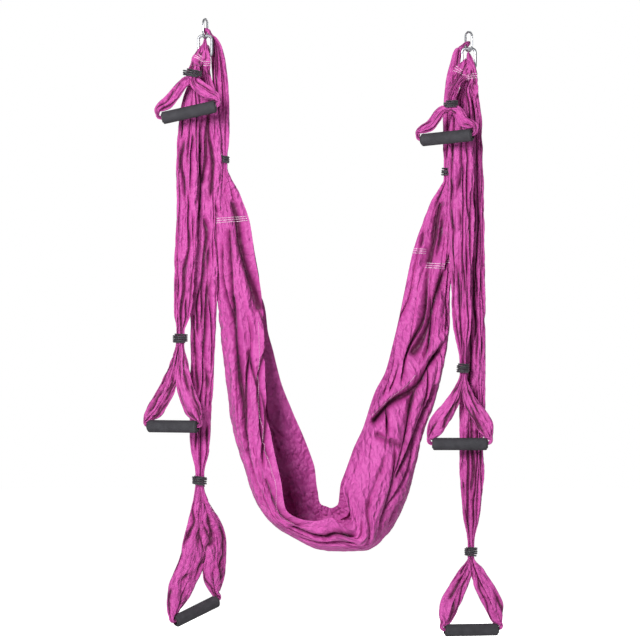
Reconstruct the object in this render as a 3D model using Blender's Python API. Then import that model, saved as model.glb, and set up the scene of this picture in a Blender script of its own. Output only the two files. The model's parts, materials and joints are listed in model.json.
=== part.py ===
"""An aerial hammock: a gathered cloth sling, six hand straps with foam grips, elastic ties
and four spring-gate carabiners.

Metres, +Z up, -Y towards the viewer. The origin is the middle of the line between the two points
that the upper carabiners hang from.
"""

import math

import bmesh
import bpy
from mathutils import Matrix, Vector

# One picture pixel at the object, and the picture point that the origin falls on
PIXEL = 0.00241
ORIGIN_PIXELS = (337.0, 26.5)

# Hanging points
HANG_HALF_SPAN = 0.3175
HANG_HALF_STEP = 0.0155

# Upper carabiners: narrow, turned away from the viewer
UPPER_LENGTH = 0.052
UPPER_WIDTH = 0.027
UPPER_ROD = 0.005
UPPER_CORNER = 0.011
UPPER_TURN_LEFT_DEG = 65.0
UPPER_TURN_RIGHT_DEG = 132.0

# Lower carabiners: wide, face-on
LOWER_LENGTH = 0.056
LOWER_WIDTH = 0.039
LOWER_ROD = 0.007
LOWER_CORNER = 0.009

# Carabiner gate, as shares of the rod's radius
TANG_HALF_WIDTH_SHARE = 0.75
TANG_HALF_DEPTH_SHARE = 0.24
EAR_REACH_SHARE = 0.72
SHOULDER_SHARE = 1.45
SLOT_FLOOR_SHARE = 1.35
NOSE_TANG_SHARE = 1.6
NOSE_PIN_SHARE = 0.75
GATE_RADIUS_SHARE = 0.96
RIVET_RADIUS_SHARE = 0.26
PIN_LENGTH_SHARE = 0.84
BORE_RADIUS_SHARE = 0.45
BORE_DEPTH_SHARE = 3.4

CLEARANCE = 0.0003
LINK_GAP = 0.0005
OVERRUN = 0.004

# Elastic ties
CORD = 0.004
CORD_PITCH = 0.0046
CORD_SEAT = 0.0004
CORD_END = 0.012

# Grips
FOAM_LENGTH = 0.130
FOAM_DIAMETER = 0.030
FOAM_EDGE = 0.002
CORE_LENGTH = 0.134
CORE_DIAMETER = 0.021
CORE_BORE = 0.017

# Strap eyes, where the cloth wraps the carabiner
EYE_TUBE = 0.0058
EYE_PITCH = 0.0072
EYE_HOLE = 0.0112
EYE_SEAT = 0.0005

# Hammock end eyes
TAIL_EYE_TUBE = 0.008
TAIL_EYE_HOLE = 0.009
TAIL_EYE_RISE = 0.017
TAIL_EYE_TILT_DEG = 30.0
TAIL_START_SHARE = 0.8

# Strap necks: drop below the eye's rod, then width, depth and how far each layer has moved
NECK_DROP = 0.027
NECK_HALF_WIDTH = 0.0080
NECK_HALF_DEPTH = 0.0058
NECK_DROP_SHARES = (0.33, 0.52, 0.75, 1.0)
NECK_WIDTH_SHARES = (0.30, 0.37, 0.55, 1.0)
NECK_DEPTH_SHARES = (0.74, 0.76, 0.84, 1.0)
NECK_SHIFT_SHARES = (0.0, 0.25, 0.58, 1.0)
NECK_LEAN_SHARE = 0.6

# Strap legs: the loop of cloth through the grip
BAR_HALF = 0.0058
BAR_REST = 0.0019
TURN_HALF_WIDTH = 0.0045
TURN_HALF_DEPTH = 0.0078
TURN_CLEARANCE = 0.001
LEG_HALF_DEPTH = 0.0078
LEG_ABOVE_GRIP = 0.024
LEG_SPREAD = 0.0025
# How far each point of a leg has moved from under the grip's middle to under the tie
LEG_LEAN_SHARES = (1.0, 1.0, 0.62, 0.22, 0.0, 0.0, 0.0, 0.0)
# Legs in and just under the tie: reach out, half width and half depth, of the neck's own
TIE_LEG_SHARES = (0.30, 0.45, 0.5)
UNDER_TIE_SHARES = (0.42, 0.48, 0.75)
# Legs above the grip: reach out of the grip's end, height of the tie's foot, half width of the leg
UPPER_LEG_SHARES = (0.36, 0.62, 0.85)
LOWER_LEG_SHARES = (0.84, 0.24, 1.0)
LEG_FOOT_SHARE = 0.42

# Layers of cloth from front to back, at the necks and at the loops
SHORT_NECK_SHIFT = -0.030
MEDIUM_NECK_SHIFT = -0.008
LONG_NECK_SHIFT = 0.012
SHORT_DEPTH = -0.072
MEDIUM_DEPTH = -0.034
LONG_DEPTH = 0.004
TAIL_DEPTH = 0.016

RING_POINTS = 12
LEG_POINTS = 8
EYE_POINTS = 8
EYE_SIDES = 6
ROD_POINTS = 10
CORNER_STEPS = 5
TURN_POINTS = 8
CORD_SIDES_RESOLUTION = 1
GRIP_SIDES = 24
CORE_SIDES = 20
HAMMOCK_POINTS = 20
PLEAT_SHARE = 0.22
LEG_PLEAT_SHARE = 0.14
HAMMOCK_PLEAT_SHARE = 0.09

# Strap columns in picture pixels, each row: middle, height, half width, half depth, layer share
# (how far the cloth has moved from the neck's layer to the loop's layer)
SHORT_LEFT_COLUMN_PIXELS = ((193.0, 70.0, 7.6, 2.7, 0.42), (193.0, 79.0, 7.6, 2.7, 0.42))
MEDIUM_LEFT_COLUMN_PIXELS = (
    (193.0, 84.0, 6.0, 3.4, 0.10),
    (191.0, 110.0, 9.5, 4.2, 0.35),
    (189.0, 150.0, 11.0, 5.0, 0.75),
    (188.0, 205.0, 11.5, 5.4, 1.0),
    (185.0, 270.0, 12.0, 5.4, 1.0),
    (182.5, 315.0, 9.5, 4.8, 1.0),
    (180.7, 331.8, 5.6, 3.8, 1.0),
    (180.7, 344.8, 5.6, 3.8, 1.0),
)
LONG_LEFT_COLUMN_PIXELS = (
    (202.0, 84.0, 6.5, 3.4, 0.5),
    (202.0, 120.0, 10.5, 4.6, 1.0),
    (202.0, 200.0, 11.0, 5.2, 1.0),
    (202.5, 300.0, 11.5, 5.4, 1.0),
    (201.5, 400.0, 12.0, 5.4, 1.0),
    (200.5, 445.0, 10.5, 5.0, 1.0),
    (199.5, 474.0, 5.6, 3.8, 1.0),
    (199.5, 487.0, 5.6, 3.8, 1.0),
)
SHORT_RIGHT_COLUMN_PIXELS = (
    (457.0, 84.0, 5.0, 2.6, 0.25),
    (452.0, 94.0, 6.0, 2.8, 0.55),
    (450.0, 100.0, 5.4, 2.8, 0.75),
    (450.0, 111.0, 5.4, 2.8, 0.75),
)
MEDIUM_RIGHT_COLUMN_PIXELS = (
    (464.5, 100.0, 5.6, 3.2, 0.15),
    (464.0, 130.0, 9.0, 4.4, 0.6),
    (463.5, 180.0, 9.5, 5.2, 1.0),
    (462.5, 260.0, 10.0, 5.4, 1.0),
    (462.0, 325.0, 9.5, 5.0, 1.0),
    (462.5, 361.0, 4.6, 3.6, 1.0),
    (462.5, 375.0, 4.6, 3.6, 1.0),
)
LONG_RIGHT_COLUMN_PIXELS = (
    (474.0, 100.0, 6.5, 3.4, 0.5),
    (475.5, 135.0, 9.0, 4.6, 1.0),
    (475.0, 200.0, 11.0, 5.2, 1.0),
    (474.5, 300.0, 12.5, 5.4, 1.0),
    (472.5, 400.0, 14.0, 5.6, 1.0),
    (472.0, 465.0, 14.0, 5.4, 1.0),
    (471.5, 520.0, 9.5, 4.8, 1.0),
    (471.0, 545.0, 4.6, 3.6, 1.0),
    (471.0, 558.0, 4.6, 3.6, 1.0),
)

# Hammock ends above the ties in picture pixels: middle, height, half width, half depth
LEFT_TAIL_PIXELS = (
    (217.5, 48.0, 5.5, 3.2),
    (219.5, 66.0, 6.5, 4.0),
    (223.5, 95.0, 7.0, 4.6),
    (224.5, 130.0, 6.4, 4.6),
    (224.0, 150.0, 3.6, 3.4),
    (224.0, 167.0, 3.6, 3.4),
)
RIGHT_TAIL_PIXELS = (
    (455.0, 62.0, 5.0, 3.2),
    (451.5, 85.0, 5.8, 4.0),
    (450.0, 115.0, 5.8, 4.4),
    (448.5, 150.0, 5.4, 4.4),
    (447.0, 163.0, 3.6, 3.4),
    (447.0, 180.0, 3.6, 3.4),
)

# The sling between the ties in picture pixels, from left to right: a point on its inner edge, the
# point across from it on its outer edge, half depth, and the share of the full trough
SLING_PIXELS = (
    (231.0, 177.0, 219.0, 178.0, 5.0, 0.0),
    (240.0, 193.0, 217.6, 195.0, 7.5, 0.1),
    (248.0, 220.0, 217.6, 223.0, 11.0, 0.3),
    (255.0, 260.0, 218.0, 265.0, 14.0, 0.5),
    (262.0, 303.0, 219.0, 310.0, 17.0, 0.7),
    (268.0, 345.0, 222.0, 353.0, 22.0, 0.8),
    (276.0, 380.0, 226.5, 392.0, 29.0, 0.9),
    (287.0, 409.0, 232.5, 428.0, 37.0, 1.0),
    (300.0, 440.0, 242.0, 460.0, 45.0, 1.0),
    (309.0, 465.0, 252.0, 492.0, 51.0, 1.0),
    (316.0, 492.0, 269.0, 518.0, 55.0, 1.0),
    (322.5, 508.0, 300.0, 539.0, 57.0, 1.0),
    (331.0, 511.0, 334.0, 551.0, 58.0, 1.0),
    (337.5, 508.0, 366.0, 549.0, 57.0, 1.0),
    (342.0, 483.0, 392.0, 526.0, 55.0, 1.0),
    (353.0, 453.0, 406.0, 498.0, 51.0, 1.0),
    (364.0, 428.0, 415.0, 465.0, 45.0, 1.0),
    (375.0, 394.0, 422.5, 433.0, 37.0, 1.0),
    (386.0, 372.0, 434.0, 403.0, 29.0, 0.9),
    (393.0, 345.0, 443.0, 366.0, 22.0, 0.8),
    (399.0, 318.0, 447.0, 330.0, 18.0, 0.7),
    (405.0, 287.0, 450.5, 292.0, 15.0, 0.6),
    (411.0, 256.0, 452.0, 258.0, 12.5, 0.4),
    (420.0, 225.0, 452.5, 226.0, 10.0, 0.2),
    (430.0, 200.0, 452.5, 201.0, 7.5, 0.1),
    (440.0, 186.0, 452.0, 186.5, 5.0, 0.0),
)
# The full trough's section, as shares of half the depth and of half the thickness, from the
# middle of the seat out to the lip
TROUGH_SHARES = ((0.0, -0.62), (0.42, -0.52), (0.66, -0.2), (0.84, 0.55), (0.955, 1.0), (1.0, 0.0))

# Grips in picture pixels and degrees: middle, tilt in the picture, turn about the vertical, and
# the half width of the cloth legs above them
SHORT_LEFT_GRIP_PIXELS = (190.0, 114.0, 12.5, 0.0, 6.5)
MEDIUM_LEFT_GRIP_PIXELS = (173.5, 426.0, 0.0, -24.0, 8.5)
LONG_LEFT_GRIP_PIXELS = (196.0, 611.3, 19.5, 38.0, 9.0)
SHORT_RIGHT_GRIP_PIXELS = (446.0, 139.0, 4.5, -24.0, 5.0)
MEDIUM_RIGHT_GRIP_PIXELS = (459.5, 443.5, 0.0, 0.0, 8.5)
LONG_RIGHT_GRIP_PIXELS = (471.5, 630.0, 0.0, 12.0, 8.5)

# Ties in picture pixels: middle height, and the number of turns
SHORT_LEFT_TIE_PIXELS = (74.5, 3.0)
MEDIUM_LEFT_TIE_PIXELS = (338.3, 4.0)
LONG_LEFT_TIE_PIXELS = (480.5, 4.0)
SHORT_RIGHT_TIE_PIXELS = (105.5, 3.0)
MEDIUM_RIGHT_TIE_PIXELS = (368.0, 4.0)
LONG_RIGHT_TIE_PIXELS = (551.5, 4.0)
LEFT_TAIL_TIE_PIXELS = (159.0, 3.0)
RIGHT_TAIL_TIE_PIXELS = (171.5, 3.0)

# The straps of each side: place along the carabiner's bend, layers at the neck and at the loop,
# column, grip and tie
SHORT_LAYERS = (SHORT_NECK_SHIFT, SHORT_DEPTH)
MEDIUM_LAYERS = (MEDIUM_NECK_SHIFT, MEDIUM_DEPTH)
LONG_LAYERS = (LONG_NECK_SHIFT, LONG_DEPTH)
SHORT_LEFT = (SHORT_LEFT_COLUMN_PIXELS, SHORT_LEFT_GRIP_PIXELS, SHORT_LEFT_TIE_PIXELS)
MEDIUM_LEFT = (MEDIUM_LEFT_COLUMN_PIXELS, MEDIUM_LEFT_GRIP_PIXELS, MEDIUM_LEFT_TIE_PIXELS)
LONG_LEFT = (LONG_LEFT_COLUMN_PIXELS, LONG_LEFT_GRIP_PIXELS, LONG_LEFT_TIE_PIXELS)
SHORT_RIGHT = (SHORT_RIGHT_COLUMN_PIXELS, SHORT_RIGHT_GRIP_PIXELS, SHORT_RIGHT_TIE_PIXELS)
MEDIUM_RIGHT = (MEDIUM_RIGHT_COLUMN_PIXELS, MEDIUM_RIGHT_GRIP_PIXELS, MEDIUM_RIGHT_TIE_PIXELS)
LONG_RIGHT = (LONG_RIGHT_COLUMN_PIXELS, LONG_RIGHT_GRIP_PIXELS, LONG_RIGHT_TIE_PIXELS)
STRAPS = {
    "left": (
        ("short", 1, *SHORT_LAYERS, *SHORT_LEFT),
        ("medium", -1, *MEDIUM_LAYERS, *MEDIUM_LEFT),
        ("long", 0, *LONG_LAYERS, *LONG_LEFT),
    ),
    "right": (
        ("short", -1, *SHORT_LAYERS, *SHORT_RIGHT),
        ("medium", 1, *MEDIUM_LAYERS, *MEDIUM_RIGHT),
        ("long", 0, *LONG_LAYERS, *LONG_RIGHT),
    ),
}


def clear_scene():
    for obj in list(bpy.data.objects):
        bpy.data.objects.remove(obj, do_unlink=True)


def make_material(name, colour, roughness, metallic):
    """A plain Principled material in the piece's own colour."""
    material = bpy.data.materials.new(name)
    material.use_nodes = True
    shader = material.node_tree.nodes["Principled BSDF"]
    shader.inputs["Base Color"].default_value = (*colour, 1.0)
    shader.inputs["Roughness"].default_value = roughness
    shader.inputs["Metallic"].default_value = metallic
    material.diffuse_color = (*colour, 1.0)
    return material


CLOTH_COLOUR = (0.55, 0.10, 0.38)
STEEL_COLOUR = (0.72, 0.73, 0.75)
FOAM_COLOUR = (0.055, 0.055, 0.062)
CORE_COLOUR = (0.03, 0.03, 0.032)
CORD_COLOUR = (0.02, 0.02, 0.024)


def add_object(name, data, look, pivot):
    """Links the piece, gives it its own material and puts its origin on its joint's axis."""
    data.transform(Matrix.Translation(-pivot))
    obj = bpy.data.objects.new(name, data)
    obj.location = pivot
    bpy.context.scene.collection.objects.link(obj)
    data.materials.append(make_material(name, *look))
    if obj.type == "MESH":
        data.shade_smooth()
        data.set_sharp_from_angle(angle=math.radians(40.0))
    return obj


CLOTH = (CLOTH_COLOUR, 0.55, 0.0)
STEEL = (STEEL_COLOUR, 0.25, 1.0)
FOAM = (FOAM_COLOUR, 0.85, 0.0)
PLASTIC = (CORE_COLOUR, 0.5, 0.0)
ELASTIC = (CORD_COLOUR, 0.8, 0.0)


def loft(name, rings, closed=False):
    """A closed mesh through rings of points, with flat caps unless the rings run round."""
    mesh = bpy.data.meshes.new(name)
    shape = bmesh.new()
    rows = [[shape.verts.new(point) for point in ring] for ring in rings]
    count = len(rows[0])
    following = rows[1:] + rows[:1] if closed else rows[1:]
    for row, after in zip(rows, following):
        for i in range(count):
            j = (i + 1) % count
            shape.faces.new((row[i], row[j], after[j], after[i]))
    if not closed:
        shape.faces.new(rows[0])
        shape.faces.new(rows[-1])
    bmesh.ops.recalc_face_normals(shape, faces=shape.faces)
    bmesh.ops.triangulate(shape, faces=[face for face in shape.faces if len(face.verts) > 4])
    shape.to_mesh(mesh)
    shape.free()
    return mesh


def oval(centre, across, deep, half_width, half_depth, count=RING_POINTS, pleat=0.0):
    """A ring of points round a centre; a pleat draws every other point in, as a lengthwise fold."""
    points = []
    for i in range(count):
        angle = math.tau * (i + 0.5) / count
        reach = 1.0 - pleat * (i % 2)
        points.append(
            centre
            + across * (half_width * reach * math.cos(angle))
            + deep * (half_depth * reach * math.sin(angle))
        )
    return points


def from_pixels(across, down, depth):
    """The point of the object that the picture shows there."""
    return Vector(
        ((across - ORIGIN_PIXELS[0]) * PIXEL, depth, (ORIGIN_PIXELS[1] - down) * PIXEL)
    )


AXIS_X = Vector((1.0, 0.0, 0.0))
AXIS_Y = Vector((0.0, 1.0, 0.0))
AXIS_Z = Vector((0.0, 0.0, 1.0))


def cut(obj, tool, operation, pivot):
    """Joins or cuts a solid with a hidden helper."""
    helper = bpy.data.objects.new(f"{obj.name}_{tool.name}", tool)
    tool.transform(Matrix.Translation(-pivot))
    helper.location = pivot
    bpy.context.scene.collection.objects.link(helper)
    helper.hide_render = True
    helper.display_type = "WIRE"
    modifier = obj.modifiers.new(tool.name, "BOOLEAN")
    modifier.operation = operation
    modifier.solver = "EXACT"
    modifier.use_self = operation == "UNION"
    modifier.object = helper


def rod_mesh(name, start, end, radius, sides=ROD_POINTS):
    """A plain round bar between two points."""
    along = (end - start).normalized()
    side = along.orthogonal().normalized()
    rings = [oval(p, side, along.cross(side), radius, radius, sides) for p in (start, end)]
    return loft(name, rings)


def box_mesh(name, low, high, frame):
    """A box between two corners of a local frame."""
    corners = [(low.x, low.y), (high.x, low.y), (high.x, high.y), (low.x, high.y)]
    rings = [[frame @ Vector((x, y, z)) for x, y in corners] for z in (low.z, high.z)]
    return loft(name, rings)


def turned_mesh(name, profile, centre, along, up, sides):
    """A ring-shaped solid from a closed profile of (radius, distance along) points."""
    side = along.cross(up)
    rings = []
    for i in range(sides):
        angle = math.tau * i / sides
        out = up * math.cos(angle) + side * math.sin(angle)
        rings.append([centre + along * distance + out * radius for radius, distance in profile])
    return loft(name, rings, closed=True)


class Carabiner:
    """The sizes and places of one spring-gate carabiner, its plane in its own X and Z.

    Its own origin is the middle of the bottom bend, and its gate is on the -X side.
    """

    def __init__(self, label, length, width, rod, corner, top, turn_deg):
        self.label = label
        self.radius = rod / 2
        self.half_width = width / 2 - self.radius
        self.height = length - rod
        self.corner = corner
        self.bottom = top - AXIS_Z * self.height
        turn = Matrix.Rotation(math.radians(turn_deg), 4, "Z")
        self.frame = Matrix.Translation(self.bottom) @ turn
        self.normal = turn @ AXIS_Y
        self.across = turn @ AXIS_X
        self.shoulder = corner + CLEARANCE
        self.hinge = self.shoulder + SHOULDER_SHARE * self.radius
        self.nose = self.height - corner - CLEARANCE
        self.tip = self.nose - LINK_GAP
        self.rivet = RIVET_RADIUS_SHARE * self.radius

    def local(self, x, z):
        return self.frame @ Vector((x, 0.0, z))

    def path(self):
        """Centre points from the hinge end round the bottom, the back and the top to the nose."""
        points = []
        corners = (
            (-1.0, self.corner, math.pi),
            (1.0, self.corner, 1.5 * math.pi),
            (1.0, self.height - self.corner, 0.0),
            (-1.0, self.height - self.corner, 0.5 * math.pi),
        )
        for side, middle, first in corners:
            for step in range(CORNER_STEPS + 1):
                angle = first + 0.5 * math.pi * step / CORNER_STEPS
                x = side * (self.half_width - self.corner) + self.corner * math.cos(angle)
                point = (x, middle + self.corner * math.sin(angle), angle)
                if not points or math.dist(point[:2], points[-1][:2]) > CLEARANCE:
                    points.append(point)
        return points

    def body_mesh(self):
        """The bent rod, with a flat tang at each end of the gate's opening."""
        tang = (TANG_HALF_WIDTH_SHARE * self.radius, TANG_HALF_DEPTH_SHARE * self.radius)
        full = (self.radius, self.radius)
        chamfer = 0.5 * (self.radius - tang[1])
        side = self.half_width
        rows = [
            (-side, self.hinge + EAR_REACH_SHARE * self.radius, math.pi, tang),
            (-side, self.shoulder, math.pi, tang),
            (-side, self.shoulder - chamfer, math.pi, full),
        ]
        rows += [(*point, full) for point in self.path()[1:-1]]
        rows += [
            (-side, self.nose + chamfer, math.pi, full),
            (-side, self.nose, math.pi, tang),
            (-side, self.nose - NOSE_TANG_SHARE * self.radius, math.pi, tang),
        ]
        rings = []
        for x, z, angle, (half_width, half_depth) in rows:
            out = self.frame.to_3x3() @ Vector((math.cos(angle), 0.0, math.sin(angle)))
            ring = oval(self.local(x, z), out, self.normal, half_width, half_depth, ROD_POINTS)
            rings.append(ring)
        return loft(f"{self.label}_body", rings)

    def pin_mesh(self, name, height, radius, half_length):
        middle = self.local(-self.half_width, height)
        reach = self.normal * half_length
        return rod_mesh(name, middle - reach, middle + reach, radius, ROD_POINTS)

    def slab_mesh(self, name, low, high, half_depth, inner_only=False):
        """A flat cutter through the gate side, in the carabiner's plane."""
        side = -self.half_width
        left = side if inner_only else side - self.radius - OVERRUN
        corner = Vector((left, -half_depth, low))
        other = Vector((side + self.radius + OVERRUN, half_depth, high))
        return box_mesh(name, corner, other, self.frame)

    def build(self, body_pivot, gate_pivot):
        """The five pieces: body, gate, rivet, nose pin and spring."""
        radius = self.radius
        ear = EAR_REACH_SHARE * radius
        rivet_hole = self.rivet + CLEARANCE
        pin_height = self.tip - NOSE_PIN_SHARE * radius
        slot = TANG_HALF_DEPTH_SHARE * radius + CLEARANCE

        body = add_object(f"{self.label}_body", self.body_mesh(), STEEL, body_pivot)
        hole = self.pin_mesh("rivet_hole", self.hinge, rivet_hole, radius + OVERRUN)
        cut(body, hole, "DIFFERENCE", body_pivot)
        catch = self.slab_mesh(
            "catch", pin_height - rivet_hole, pin_height + rivet_hole, radius, inner_only=True
        )
        cut(body, catch, "DIFFERENCE", body_pivot)
        hook = self.pin_mesh("hook", pin_height, rivet_hole, radius)
        cut(body, hook, "DIFFERENCE", body_pivot)

        start = self.local(-self.half_width, self.hinge - ear)
        end = self.local(-self.half_width, self.tip)
        gate_radius = GATE_RADIUS_SHARE * radius
        gate_mesh = rod_mesh(f"{self.label}_gate", start, end, gate_radius)
        gate = add_object(f"{self.label}_gate", gate_mesh, STEEL, gate_pivot)
        floor = self.hinge + SLOT_FLOOR_SHARE * radius
        ceiling = self.nose - NOSE_TANG_SHARE * radius - LINK_GAP
        bore_end = floor + BORE_DEPTH_SHARE * radius
        bore_start = self.local(-self.half_width, floor - OVERRUN / 2)
        bore_radius = BORE_RADIUS_SHARE * radius
        bore = rod_mesh("bore", bore_start, self.local(-self.half_width, bore_end), bore_radius)
        tools = (
            self.slab_mesh("hinge_slot", self.shoulder - OVERRUN, floor, slot),
            self.slab_mesh("nose_slot", ceiling, self.tip + OVERRUN, slot),
            self.pin_mesh("gate_hole", self.hinge, rivet_hole, radius + OVERRUN),
            self.pin_mesh("pin_hole", pin_height, rivet_hole, radius + OVERRUN),
            bore,
        )
        for tool in tools:
            cut(gate, tool, "DIFFERENCE", gate_pivot)

        half = PIN_LENGTH_SHARE * radius
        rivet = self.pin_mesh(f"{self.label}_rivet", self.hinge, self.rivet, half)
        add_object(f"{self.label}_rivet", rivet, STEEL, body_pivot)
        pin = self.pin_mesh(f"{self.label}_nose_pin", pin_height, self.rivet, half)
        add_object(f"{self.label}_nose_pin", pin, STEEL, gate_pivot)
        spring_start = self.local(-self.half_width, floor + CLEARANCE)
        spring_end = self.local(-self.half_width, bore_end - CLEARANCE)
        spring_radius = bore_radius - CLEARANCE
        spring = rod_mesh(f"{self.label}_spring", spring_start, spring_end, spring_radius)
        add_object(f"{self.label}_spring", spring, STEEL, gate_pivot)


def eye_rings(centre, across, up, half_side, half_up, tube, count):
    """A loop of cloth round a rod, as rings along an oval path."""
    rings = []
    for i in range(count):
        angle = math.tau * i / count
        out = across * math.cos(angle) + up * math.sin(angle)
        point = centre + across * (half_side * math.cos(angle)) + up * (half_up * math.sin(angle))
        rings.append(oval(point, out, across.cross(up), tube / 2, tube / 2, EYE_SIDES))
    return rings


def winding(name, centre, half_width, half_depth, turns, pivot):
    """One unbroken cord wound round a gathered neck, both ends sticking out a little."""
    chord = 1.0 / math.cos(math.pi / TURN_POINTS)
    reach_x = (half_width + CORD_SEAT + CORD / 2) * chord
    reach_y = (half_depth + CORD_SEAT + CORD / 2) * chord
    steps = round(turns * TURN_POINTS)
    points = []
    for i in range(steps + 1):
        angle = math.tau * i / TURN_POINTS + 0.5 * math.pi
        rise = CORD_PITCH * (i / TURN_POINTS - turns / 2)
        offset = Vector((reach_x * math.cos(angle), -reach_y * math.sin(angle), rise))
        points.append(centre + offset)
    lead = (points[0] - points[1]).normalized() * CORD_END - AXIS_Y * (CORD_END / 2)
    tail = (points[-1] - points[-2]).normalized() * CORD_END - AXIS_Y * (CORD_END / 2)
    points = [points[0] + lead] + points + [points[-1] + tail]
    gap = least_gap(points)
    print(f"{name}: least gap of the cord to itself {gap * 1000:.2f} mm")
    curve = bpy.data.curves.new(name, "CURVE")
    curve.dimensions = "3D"
    curve.bevel_depth = CORD / 2
    curve.bevel_resolution = CORD_SIDES_RESOLUTION
    curve.use_fill_caps = True
    spline = curve.splines.new("POLY")
    spline.points.add(len(points) - 1)
    for spot, point in zip(spline.points, points):
        spot.co = (*point, 1.0)
    add_object(name, curve, ELASTIC, pivot)


def least_gap(points):
    """The least distance between stretches of a cord more than half a turn apart, less the cord."""
    skip = TURN_POINTS // 2
    least = math.inf
    for i in range(len(points) - 1):
        for j in range(i + skip, len(points) - 1):
            least = min(least, stretch_gap(points[i : i + 2], points[j : j + 2]))
    return least - CORD


def stretch_gap(first, second):
    """The least distance between two straight stretches, sampled along both."""
    samples = [k / TURN_POINTS for k in range(TURN_POINTS + 1)]
    spots = [[a.lerp(b, share) for share in samples] for a, b in (first, second)]
    return min((p - q).length for p in spots[0] for q in spots[1])


class Strap:
    """One hand strap: an eye on the carabiner, a gathered column, a tie and a loop with a grip."""

    def __init__(self, label, carabiner, lane, shift, depth, column, grip, tie):
        self.label = label
        self.carabiner = carabiner
        self.lane = lane * EYE_PITCH
        self.shift = shift
        self.depth = depth
        self.tie_height, self.turns = tie
        # The column stretches with the tie's height, so that its last two rows stay round the tie
        neck_end = ORIGIN_PIXELS[1] - (carabiner.bottom.z - NECK_DROP) / PIXEL
        stretch = (self.tie_height - neck_end) / ((column[-2][1] + column[-1][1]) / 2 - neck_end)
        self.column = [
            (across, neck_end + (down - neck_end) * stretch, *rest) for across, down, *rest in column
        ]
        across, down, tilt, yaw, leg = grip
        self.grip = from_pixels(across, down, depth)
        self.leg_half_width = leg * PIXEL
        turn = Matrix.Rotation(math.radians(yaw), 3, "Z")
        angle = math.radians(tilt)
        self.along = turn @ Vector((math.cos(angle), 0.0, math.sin(angle)))
        self.up = turn @ Vector((-math.sin(angle), 0.0, math.cos(angle)))
        self.rod = carabiner.bottom + carabiner.across * self.lane

    def layer(self, share):
        return self.shift + (self.depth - self.shift) * share

    def column_rings(self):
        """The cloth from inside its eye down through the tie."""
        rings = []
        first = self.column[0]
        goal = from_pixels(first[0], first[1], 0.0).x
        neck = zip(NECK_DROP_SHARES, NECK_WIDTH_SHARES, NECK_DEPTH_SHARES, NECK_SHIFT_SHARES)
        for drop, wide, deep, moved in neck:
            middle = Vector((self.rod.x, self.shift * moved, self.rod.z - NECK_DROP * drop))
            middle.x += (goal - self.rod.x) * max(0.0, moved - NECK_SHIFT_SHARES[2]) * NECK_LEAN_SHARE
            half = (NECK_HALF_WIDTH * wide, NECK_HALF_DEPTH * deep)
            rings.append(oval(middle, AXIS_X, AXIS_Y, *half))
        for across, down, wide, deep, moved in self.column:
            middle = from_pixels(across, down, self.layer(moved))
            pleat = PLEAT_SHARE if abs(down - self.tie_height) * PIXEL > 4 * CORD else 0.0
            ring = oval(middle, AXIS_X, AXIS_Y, wide * PIXEL, deep * PIXEL, pleat=pleat)
            rings.append(ring)
        return rings

    def loop_rings(self):
        """The two legs and the bar of cloth between them, through the grip's tube."""
        last = self.column[-1]
        tie = from_pixels(last[0], self.tie_height, self.layer(last[4]))
        knot = Vector(((tie - self.grip).dot(self.along), (tie - self.grip).dot(self.up)))
        half_neck = last[2] * PIXEL
        below = (last[1] - self.tie_height) * PIXEL
        end = CORE_LENGTH / 2 + TURN_CLEARANCE
        turn = TURN_HALF_WIDTH + TURN_CLEARANCE
        outer = end + turn
        top = knot.y - below
        wide = self.leg_half_width
        span = top - LEG_ABOVE_GRIP
        left = []
        for height, (out, width, depth) in ((knot.y, TIE_LEG_SHARES), (top, UNDER_TIE_SHARES)):
            spot = Vector((knot.x - half_neck * out, height))
            left.append((spot, half_neck * width, last[3] * PIXEL * depth))
        for lean, (out, height, width) in zip(
            LEG_LEAN_SHARES[2:4], (UPPER_LEG_SHARES, LOWER_LEG_SHARES)
        ):
            spot = Vector((knot.x * lean - outer * out, LEG_ABOVE_GRIP + span * height))
            left.append((spot, wide * width, LEG_HALF_DEPTH))
        foot = Vector((-outer - LEG_SPREAD, LEG_ABOVE_GRIP))
        left.append((foot, wide * LEG_FOOT_SHARE, LEG_HALF_DEPTH))
        left.append((Vector((-outer, BAR_REST + turn)), TURN_HALF_WIDTH, TURN_HALF_DEPTH))
        bend = Vector((-end, BAR_REST + turn))
        corner = bend + Vector((-math.sqrt(0.5), -math.sqrt(0.5))) * turn
        left.append((corner, TURN_HALF_WIDTH, TURN_HALF_DEPTH))
        left.append((Vector((-end, BAR_REST)), TURN_HALF_WIDTH, BAR_HALF))
        right = [
            (Vector((2 * knot.x * share - spot.x, spot.y)), half_width, half_depth)
            for (spot, half_width, half_depth), share in zip(left, LEG_LEAN_SHARES)
        ]
        rows = left + [(Vector((0.0, BAR_REST)), BAR_HALF, BAR_HALF)] + right[::-1]
        tangents = [
            (rows[min(i + 1, len(rows) - 1)][0] - rows[max(i - 1, 0)][0]).normalized()
            for i in range(len(rows))
        ]
        deep = self.along.cross(self.up)
        lean = (tie - self.grip).dot(deep)
        rings = []
        for i, ((spot, half_width, half_depth), tangent) in enumerate(zip(rows, tangents)):
            if spot.y >= top:
                # In the tie both legs run straight down the neck, whichever way the grip is turned
                centre = tie + AXIS_X * (spot.x - knot.x) + AXIS_Z * (spot.y - knot.y)
                side = AXIS_X if i < len(rows) / 2 else -AXIS_X
                rings.append(oval(centre, side, -AXIS_Y, half_width, half_depth, LEG_POINTS))
                continue
            risen = (spot.y - LEG_ABOVE_GRIP) / (knot.y - LEG_ABOVE_GRIP)
            centre = self.grip + self.along * spot.x + self.up * spot.y
            centre += deep * (lean * max(0.0, risen))
            side = self.along * -tangent.y + self.up * tangent.x
            pleat = LEG_PLEAT_SHARE if half_width > 2 * TURN_HALF_WIDTH else 0.0
            rings.append(oval(centre, side, deep, half_width, half_depth, LEG_POINTS, pleat))
        return rings

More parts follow.
